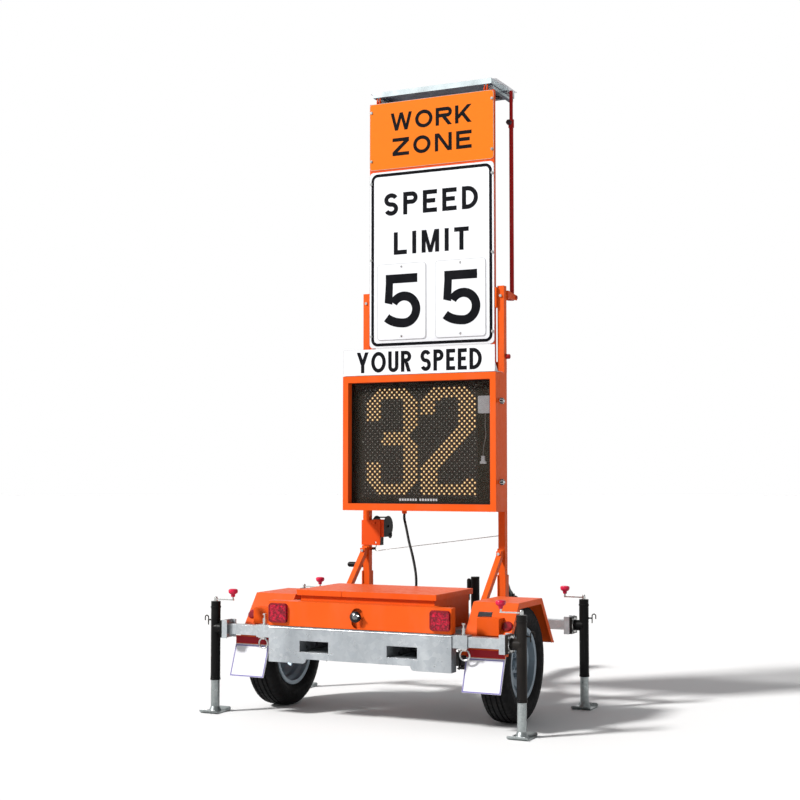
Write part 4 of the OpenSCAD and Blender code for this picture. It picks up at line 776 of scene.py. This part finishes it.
def tyre(name, node_name, body):
    """A treaded tyre of the CAD tyre's size. The profile runs from the bead to the crown, in metres."""
    lo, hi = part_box(node_name)
    centre = (lo + hi) / 2
    half_width = (hi.x - lo.x) / 2
    k = (hi.z - lo.z) / 2 / 0.290
    widen = half_width / 0.078
    profile = [(0.1655, 0.0560), (0.1830, 0.0565), (0.1855, 0.0610), (0.1900, 0.0640), (0.2050, 0.0725),
               (0.2150, 0.0768), (0.2180, 0.0768), (0.2200, 0.0776), (0.2320, 0.0779), (0.2450, 0.0777),
               (0.2480, 0.0765), (0.2580, 0.0750), (0.2640, 0.0732), (0.2700, 0.0712), (0.2760, 0.0680),
               (0.2810, 0.0640),
               (0.2850, 0.0580), (0.2875, 0.0520), (0.2885, 0.0450), (0.2885, 0.0430), (0.2815, 0.0415),
               (0.2815, 0.0355), (0.2893, 0.0340), (0.2896, 0.0260), (0.2896, 0.0190), (0.2822, 0.0175),
               (0.2822, 0.0115), (0.2899, 0.0100), (0.2900, 0.0050), (0.2900, 0.0)]
    half = [(r * k, x * widen) for r, x in profile]
    full = half + [(r, -x) for r, x in reversed(half[:-1])]
    steps, blocks = 264, 66
    verts = []
    for s in range(steps):
        a = 2 * math.pi * s / steps
        around = a / (2 * math.pi) * blocks
        for r, x in full:
            rr = r
            xa = abs(x)
            if r > 0.2865 * k:
                lean = (xa - 0.02) * 2.2 * (1 if x > 0 else -1)
                phase = (around + lean * 8) % 1.0
                if xa > 0.0425 * widen or 0.0185 < xa < 0.0345:
                    rr = r - (0.0042 if phase < 0.22 else 0.0)
            elif 0.2760 * k < r and xa > 0.05:
                phase = (around + 0.35) % 1.0
                rr = r - (0.0022 if phase < 0.3 else 0.0)
            elif 0.2195 * k < r < 0.2460 * k:
                x = x * (1.004 if int(2 * around) % 2 else 1.0)
                x = max(-half_width, min(half_width, x))
            verts.append((centre.x + x, centre.y + rr * math.cos(a), centre.z + rr * math.sin(a)))
    obj = piece(name, verts, lathe_faces(steps, len(full)), TYRE, body, "tyre_rubber", smooth=True)
    obj.data.set_sharp_from_angle(angle=math.radians(38))
    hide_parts(node_name)


tyre("tread_tyre_left", "tyre_left", "wheel_left")
tyre("tread_tyre_right", "tyre_right", "wheel_right")
for side, body in ((-1, "wheel_left"), (1, "wheel_right")):
    b = Build()
    stem = [(708, 150), (712, 146), (716, 140), (717, 132)]
    b.tube([(side * x, 0, WHEEL_R + z) for x, z in stem], 3.2, 8)
    cap = [(0.01, 0), (3.9, 0.4), (4.0, 9), (3.4, 10), (0.01, 10)]
    b.turned(cap, (side * 717, 0, WHEEL_R + 122), "z", 10)
    b.done("valve_stem_" + body, SEAL, body, "flap_rubber", smooth=True)


# Cranks, knobs and jacks --------------------------------------------------------------

for corner in CORNERS:
    lo, hi = box_mm("crank_" + corner)
    side = -1 if corner.endswith("left") else 1
    y = (lo[1] + hi[1]) / 2
    x = side * KNOB_X
    verts = []
    profile = [(0.01, 597.5), (9.6, 597.5), (10.6, 600), (10.8, 609), (14.5, 612), (21.5, 616), (24.6, 622),
               (25.2, 631), (22.9, 636), (16, 638.8), (0.01, 639.2)]
    steps = 40
    for s in range(steps):
        a = 2 * math.pi * s / steps
        for r, z in profile:
            flute = 1 - 0.04 * max(0.0, math.cos(5 * a)) * (1 if 614 < z < 637 else 0)
            verts.append(at(x + r * flute * math.cos(a), y + r * flute * math.sin(a), z))
    piece("crank_knob_" + corner, verts, lathe_faces(steps, len(profile)), KNOB, "crank_body_" + corner,
          "crank_zinc", smooth=True)
    # bolt head on the crank and two collars on the jack tube
    b = Build()
    b.turned([(0.01, 596), (6.4, 595.6), (8.0, 594), (8.2, 590.3)], (side * JACK_X, y, 0), "z", 16)
    b.done("crank_cap_" + corner, ZINC, "crank_body_" + corner, "zinc_bolt", smooth=True)
    b = Build()
    b.turned([(25.6, 168), (26.6, 169), (26.6, 175), (25.4, 176)], (side * JACK_X, y, 0), "z", 32)
    b.turned([(25.2, 180), (25.9, 181), (25.9, 184), (25.2, 185)], (side * JACK_X, y, 0), "z", 32)
    b.done("jack_collar_" + corner, BLACK, "jack_body_" + corner, "black_paint", smooth=True)
    # bright washer and cap screws on the black swivel plate
    b = Build()
    ring_profile = [(28.2, 14.2), (28.2, 16.4), (29.2, 17.2), (39.0, 17.2), (40.2, 16.2), (40.2, 14.2)]
    b.turned([(r, side * h) for r, h in ring_profile], (side * MOUNT_X, y, ARM_Z), "x", 40)
    for dy in (-34, 34):
        for dz in (-34, 34):
            b.turned([(0.01, side * 17.4), (4.6, side * 17.2), (6.0, side * 15.8), (6.2, side * 14)],
                     (side * MOUNT_X, y + dy, ARM_Z + dz), "x", 14)
    b.done("swivel_washer_" + corner, ZINC, "jack_body_" + corner, "zinc_bolt", smooth=True)
    # pale edge trim of the end plate seen round the black plate
    b = Build()
    out, inn = MOUNT_HALF, MOUNT_HALF - 1.6
    x0, x1 = sorted((side * MOUNT_X, side * (MOUNT_X + 0.5)))
    for dy0, dy1, dz0, dz1 in ((-out, -inn, -out, out), (inn, out, -out, out),
                               (-inn, inn, -out, -inn), (-inn, inn, inn, out)):
        b.block(x0, x1, y + dy0, y + dy1, ARM_Z + dz0, ARM_Z + dz1)
    b.done("end_plate_edge_" + corner, GALV, "outrigger_" + corner, "galvanised")


# Mud flaps, tape and fender trim ----------------------------------------------------------

for side, name in ((-1, "left"), (1, "right")):
    # a thin coloured border on the sloping rear face
    def on_flap(u, v, lift=0.4):
        """u runs across the flap, v up its slope, both in millimetres from the lower outer corner."""
        slope = Vector((0, 58, 159)).normalized()
        normal = Vector((0, -159, 58)).normalized()
        p = Vector((0, -399, 195)) + slope * v + normal * lift
        return at(side * (750 - u), p.y, p.z)
    w, h = 200, 165
    outer = [(1, 1), (w - 1, 1), (w - 1, h), (1, h)]
    inner = [(7, 7), (w - 7, 7), (w - 7, h - 6), (7, h - 6)]
    verts = [on_flap(u, v) for u, v in outer + inner]
    faces = [(i, (i + 1) % 4, 4 + (i + 1) % 4, 4 + i) for i in range(4)]
    piece("flap_border_" + name, verts, faces, FLAP_EDGE, "trailer", "flap_rubber")
    # painted shade: a thin dark red strip over the clamp bar stands in for the shade on its orange paint
    b = Build()
    b.block(552 if side > 0 else -748, 748 if side > 0 else -552, -339.6, -339.05, 358, 393)
    b.done("clamp_bar_shade_strip_" + name, CLAMP_BAR_PAINTED_SHADE, "trailer", "red_lens")
    # rolled lip along the lower fender edge, tow side
    b = Build()
    b.tube([(side * x, 367.5, 364) for x in (508, 600, 700, 746)], 5.0, 10)
    b.done("fender_lip_" + name, MAROON, "trailer", "maroon_paint", smooth=True)


# Winch details -----------------------------------------------------------------------------

def gear(b, x0, x1, y, z, root, tip, teeth, turn=0.0):
    """A toothed disc along x, with root and tip radii and a first tooth turned by part of a pitch."""
    n = teeth * 4
    rows = []
    for k in range(n):
        r = tip if k % 4 in (1, 2) else root
        a = 2 * math.pi * (k + turn * 4) / n
        rows.append((r * math.cos(a), r * math.sin(a)))
    verts = [(x0, y + p, z + q) for p, q in rows] + [(x1, y + p, z + q) for p, q in rows]
    b.take(verts, [tuple(range(n)), tuple(reversed(range(n, 2 * n)))]
           + [(i, i + n, (i + 1) % n + n, (i + 1) % n) for i in range(n)])


b = Build()
gear(b, -313.6, -307.4, DRUM_Y, DRUM_Z, 39.0, 43.2, 40)
b.done("drum_gear_teeth", STEEL, "drum", "dark_steel")
b = Build()
gear(b, -313.6, -306.6, PINION_Y, PINION_Z, 8.6, 10.9, 10, 0.5)
b.done("pinion_teeth", ZINC, "winch_handle", "zinc_bolt")
b = Build()
coil = []
for k in range(24 * 5 + 12):
    a = 2 * math.pi * k / 24
    coil.append((-356.5 + 5.2 * k / 24, DRUM_Y + 29.4 * math.cos(a), DRUM_Z + 29.4 * math.sin(a)))
b.tube(coil, 2.4, 8)
b.done("drum_rope_wraps", ROPE, "drum", "rope_steel", smooth=True)
b = Build()
rib = [(14.9, 0), (15.6, 1.2), (15.6, 4.4), (14.9, 5.6)]
for k in range(7):
    b.turned(rib, (-524 + k * 7.6, PINION_Y, PINION_Z - 176), "x", 24)
b.done("winch_grip_ribs", GRIP, "winch_handle", "black_paint", smooth=True)


# Solar panel face ---------------------------------------------------------------------------

lo, hi = box_mm("solar_panel")
top = hi[2] - 2.0
x0, x1, y0, y1 = lo[0] + 12, hi[0] - 12, lo[1] + 12, hi[1] - 12
b = Build()
b.block(x0, x1, y0, y1, top + 0.1, top + 0.5)
BACKSHEET = plain("backsheet", (0.75, 0.77, 0.80), (0.7, 0.72, 0.75), 0.4, 0, 60, 0.03)
b.done("panel_backsheet", BACKSHEET, "panel", "panel_alu")
cols, rows = 9, 4
cw, ch = (x1 - x0 - 10) / cols, (y1 - y0 - 10) / rows
b, bars = Build(), Build()
for i in range(cols):
    for j in range(rows):
        a0, a1 = x0 + 5 + i * cw + 1.2, x0 + 5 + (i + 1) * cw - 1.2
        c0, c1 = y0 + 5 + j * ch + 1.2, y0 + 5 + (j + 1) * ch - 1.2
        q = 9
        outline = [(a0 + q, c0), (a1 - q, c0), (a1, c0 + q), (a1, c1 - q),
                   (a1 - q, c1), (a0 + q, c1), (a0, c1 - q), (a0, c0 + q)]
        b.take([(x, y, top + 0.6) for x, y in outline] + [(x, y, top + 0.75) for x, y in outline],
               [tuple(range(8, 16))] + [(m, (m + 1) % 8, (m + 1) % 8 + 8, m + 8) for m in range(8)])
        for f in (0.22, 0.5, 0.78):
            y = c0 + f * (c1 - c0)
            strip = [(a0, y - 0.7), (a1, y - 0.7), (a1, y + 0.7), (a0, y + 0.7)]
            bars.take([(u, v, top + 0.8) for u, v in strip], [(0, 1, 2, 3)])
        for k in range(1, 14):
            x = a0 + k / 14 * (a1 - a0)
            strip = [(x - 0.12, c0 + 1), (x + 0.12, c0 + 1), (x + 0.12, c1 - 1), (x - 0.12, c1 - 1)]
            bars.take([(u, v, top + 0.78) for u, v in strip], [(0, 1, 2, 3)])
b.done("panel_cells", CELL, "panel", "panel_alu")
bars.done("panel_busbars", ZINC, "panel", "panel_alu")


# Small hardware --------------------------------------------------------------------------------

# dark grip insert inside each fender slot, with two ridges
for side, name in ((-1, "left"), (1, "right")):
    b = Build()
    tilt = 185.0 / 241.0  # run over rise of the fender's rear slope
    for u0, u1, z0, z1, proud in ((550, 622, 535, 557, -1.5), (552, 620, 539, 542.5, 1.2),
                                  (552, 620, 549, 552.5, 1.2)):
        y_low, y_high = -326 + (z0 - 362) * tilt - proud, -326 + (z1 - 362) * tilt - proud
        x0, x1 = sorted((side * u0, side * u1))
        b.take([(x0, y_low, z0), (x1, y_low, z0), (x1, y_high, z1), (x0, y_high, z1),
                (x0, y_low + 5, z0), (x1, y_low + 5, z0), (x1, y_high + 5, z1), (x0, y_high + 5, z1)],
               [(0, 1, 2, 3), (4, 7, 6, 5), (0, 4, 5, 1), (1, 5, 6, 2), (2, 6, 7, 3), (3, 7, 4, 0)])
    b.done("fender_grip_" + name, GRIP, "trailer", "flap_rubber", bevel=0.0008)

# black star knobs on the strut collars
for side, name in ((-1, "left"), (1, "right")):
    lobes, steps = 6, 48
    verts = []
    rows = [(0.01, -45.5), (11, -45.3), (14.6, -43), (15.2, -38), (14.6, -28), (10, -25.6), (5.4, -25.2)]
    for k in range(steps):
        a = 2 * math.pi * k / steps
        for r, y in rows:
            q = r * (1 + 0.055 * math.cos(lobes * a)) if r > 12 else r
            verts.append(at(side * STRUT_X + q * math.cos(a), STRUT_Y + y, STRUT_KNOB_Z + q * math.sin(a)))
    piece("strut_star_knob_" + name, verts, lathe_faces(steps, len(rows)), GRIP, "strut_tube",
          "black_paint", smooth=True)

# bright draw latch levers on the cabinet side
for k, z in enumerate((1192, 1626)):
    b = Build()
    b.block(LATCH_X, LATCH_X + 1.4, 355, 395, z - 14, z + 14)
    bail = [(366, -7), (340, -7), (320, -6), (314, 0), (320, 6), (340, 7), (366, 7)]
    b.tube([(LATCH_X + 7.9, y, z + dz) for y, dz in bail], 1.9, 8)
    for dz in (9, -9):
        b.turned([(0.01, 3.2), (3.2, 2.9), (4.4, 1.6), (4.6, 0)], (LATCH_X, 389, z + dz), "x", 12)
    b.block(LATCH_X + 7, LATCH_X + 9, 364, 393, z - 6.5, z + 6.5)
    b.done("latch_lever_%d" % k, ZINC, "trailer", "zinc_bolt", bevel=0.0005)

# round lock: a domed steel cap over the dark body
b = Build()
b.turned([(0.01, -16.5), (9, -15.6), (17.5, -12.0), (23.0, -6.5), (25.0, 0.0), (24.4, 2.0)],
         (-1, -437, LAMP_Z), "y", 40)
LOCK_STEEL = plain("lock_steel", (0.26, 0.27, 0.28), (0.16, 0.165, 0.17), 0.26, 1.0, 90, 0.05)
b.done("round_lock_cap", LOCK_STEEL, "trailer", "dark_steel", smooth=True)
b = Build()
b.tube([(12, -447, 541), (18, -450, 540), (24, -448, 536)], 5.2, 14)
b.done("round_lock_cylinder", ZINC, "trailer", "zinc_bolt", smooth=True)

# wiring from the radar cover down the inside of the cabinet
b = Build()
lead = [(365, 372, 1560), (366, 368, 1500), (372, 362, 1440), (360, 360, 1380), (356, 360, 1330)]
b.tube(spline(lead, 6), 3.2, 8)
LEAD_GREY = plain("lead_grey", (0.45, 0.45, 0.46), (0.36, 0.36, 0.37), 0.45, 0.0, 90, 0.05)
b.done("radar_lead", LEAD_GREY, "trailer", "cable_rubber", smooth=True)
b = Build()
b.prism([(340, 1290), (374, 1290), (374, 1300), (366, 1306),
         (366, 1332), (348, 1332), (348, 1306), (340, 1300)], 352, 366)
b.done("radar_plug", RADAR_PAINTED_GLOW, "trailer", "radar_white", bevel=0.001)

# dark red cap on the peg behind the right post
b = Build()
b.turned([(0.01, 25.5), (10.5, 25.2), (13.2, 22.6), (13.4, 4.0), (12.4, 2.2)], (430, 509, 1875), "x", 24)
b.done("peg_cap", MAROON, "trailer", "zinc_bolt", smooth=True)


# Stage and light ------------------------------------------------------------------------------

floor_mesh = bpy.data.meshes.new("floor")
steps, floor_r = 96, 80
turns = [2 * math.pi * k / steps for k in range(steps)]
verts = [(0, 0, 0)] + [(floor_r * math.cos(a), floor_r * math.sin(a), 0) for a in turns]
floor_mesh.from_pydata(verts, [], [(0, k + 1, (k + 1) % steps + 1) for k in range(steps)])
floor = bpy.data.objects.new("floor", floor_mesh)
bpy.context.scene.collection.objects.link(floor)
s = Shader("floor_pale")
patches = s.span(s.noise(0.6, 2), 0.3, 0.7, 0, 1)
s.link(s.mix(patches, (0.715, 0.715, 0.718), (0.73, 0.73, 0.73)), "Base Color")
s.bsdf.inputs["Roughness"].default_value = 0.9
floor_mesh.materials.append(s.mat)

world = bpy.data.worlds.new("studio")
bpy.context.scene.world = world
world.use_nodes = True
tree = world.node_tree
background = tree.nodes["Background"]


def sky_lobe(direction, start, end):
    """1 towards a fixed compass direction, fading to 0."""
    coords = tree.nodes.new("ShaderNodeTexCoord")
    dot = tree.nodes.new("ShaderNodeVectorMath")
    dot.operation = "DOT_PRODUCT"
    tree.links.new(coords.outputs["Generated"], dot.inputs[0])
    dot.inputs[1].default_value = Vector(direction).normalized()
    span = tree.nodes.new("ShaderNodeMapRange")
    span.interpolation_type = "SMOOTHSTEP"
    tree.links.new(dot.outputs["Value"], span.inputs[0])
    span.inputs[1].default_value, span.inputs[2].default_value = start, end
    return span.outputs[0]


def sky_max(a, b):
    made = tree.nodes.new("ShaderNodeMath")
    made.operation = "MAXIMUM"
    tree.links.new(a, made.inputs[0])
    tree.links.new(b, made.inputs[1])
    return made.outputs[0]


# a white backdrop behind the object, a broad soft source above left, white at and below the horizon
# fading out upwards, and a dimmer room elsewhere
white = sky_max(sky_lobe((-0.43, 0.90, 0.10), 0.74, 0.91), sky_lobe((-0.75, -0.45, 0.55), 0.55, 1.05))
white = sky_max(white, sky_lobe((0, 0, 1), 0.34, 0.0))
mixer = tree.nodes.new("ShaderNodeMix")
mixer.data_type = "RGBA"
tree.links.new(white, mixer.inputs[0])
mixer.inputs[6].default_value = (0.26, 0.262, 0.27, 1)
mixer.inputs[7].default_value = (1, 1, 1, 1)
tree.links.new(mixer.outputs[2], background.inputs[0])
background.inputs[1].default_value = 1.0

sun = bpy.data.objects.new("key", bpy.data.lights.new("key", "SUN"))
sun.data.energy = 5.0
sun.data.color = (1.0, 0.99, 0.975)
sun.data.angle = math.radians(8)
sun.rotation_euler = Vector((0.55, 0.56, -0.62)).to_track_quat("-Z", "Y").to_euler()
bpy.context.scene.collection.objects.link(sun)
bpy.context.scene.view_settings.view_transform = "Standard"
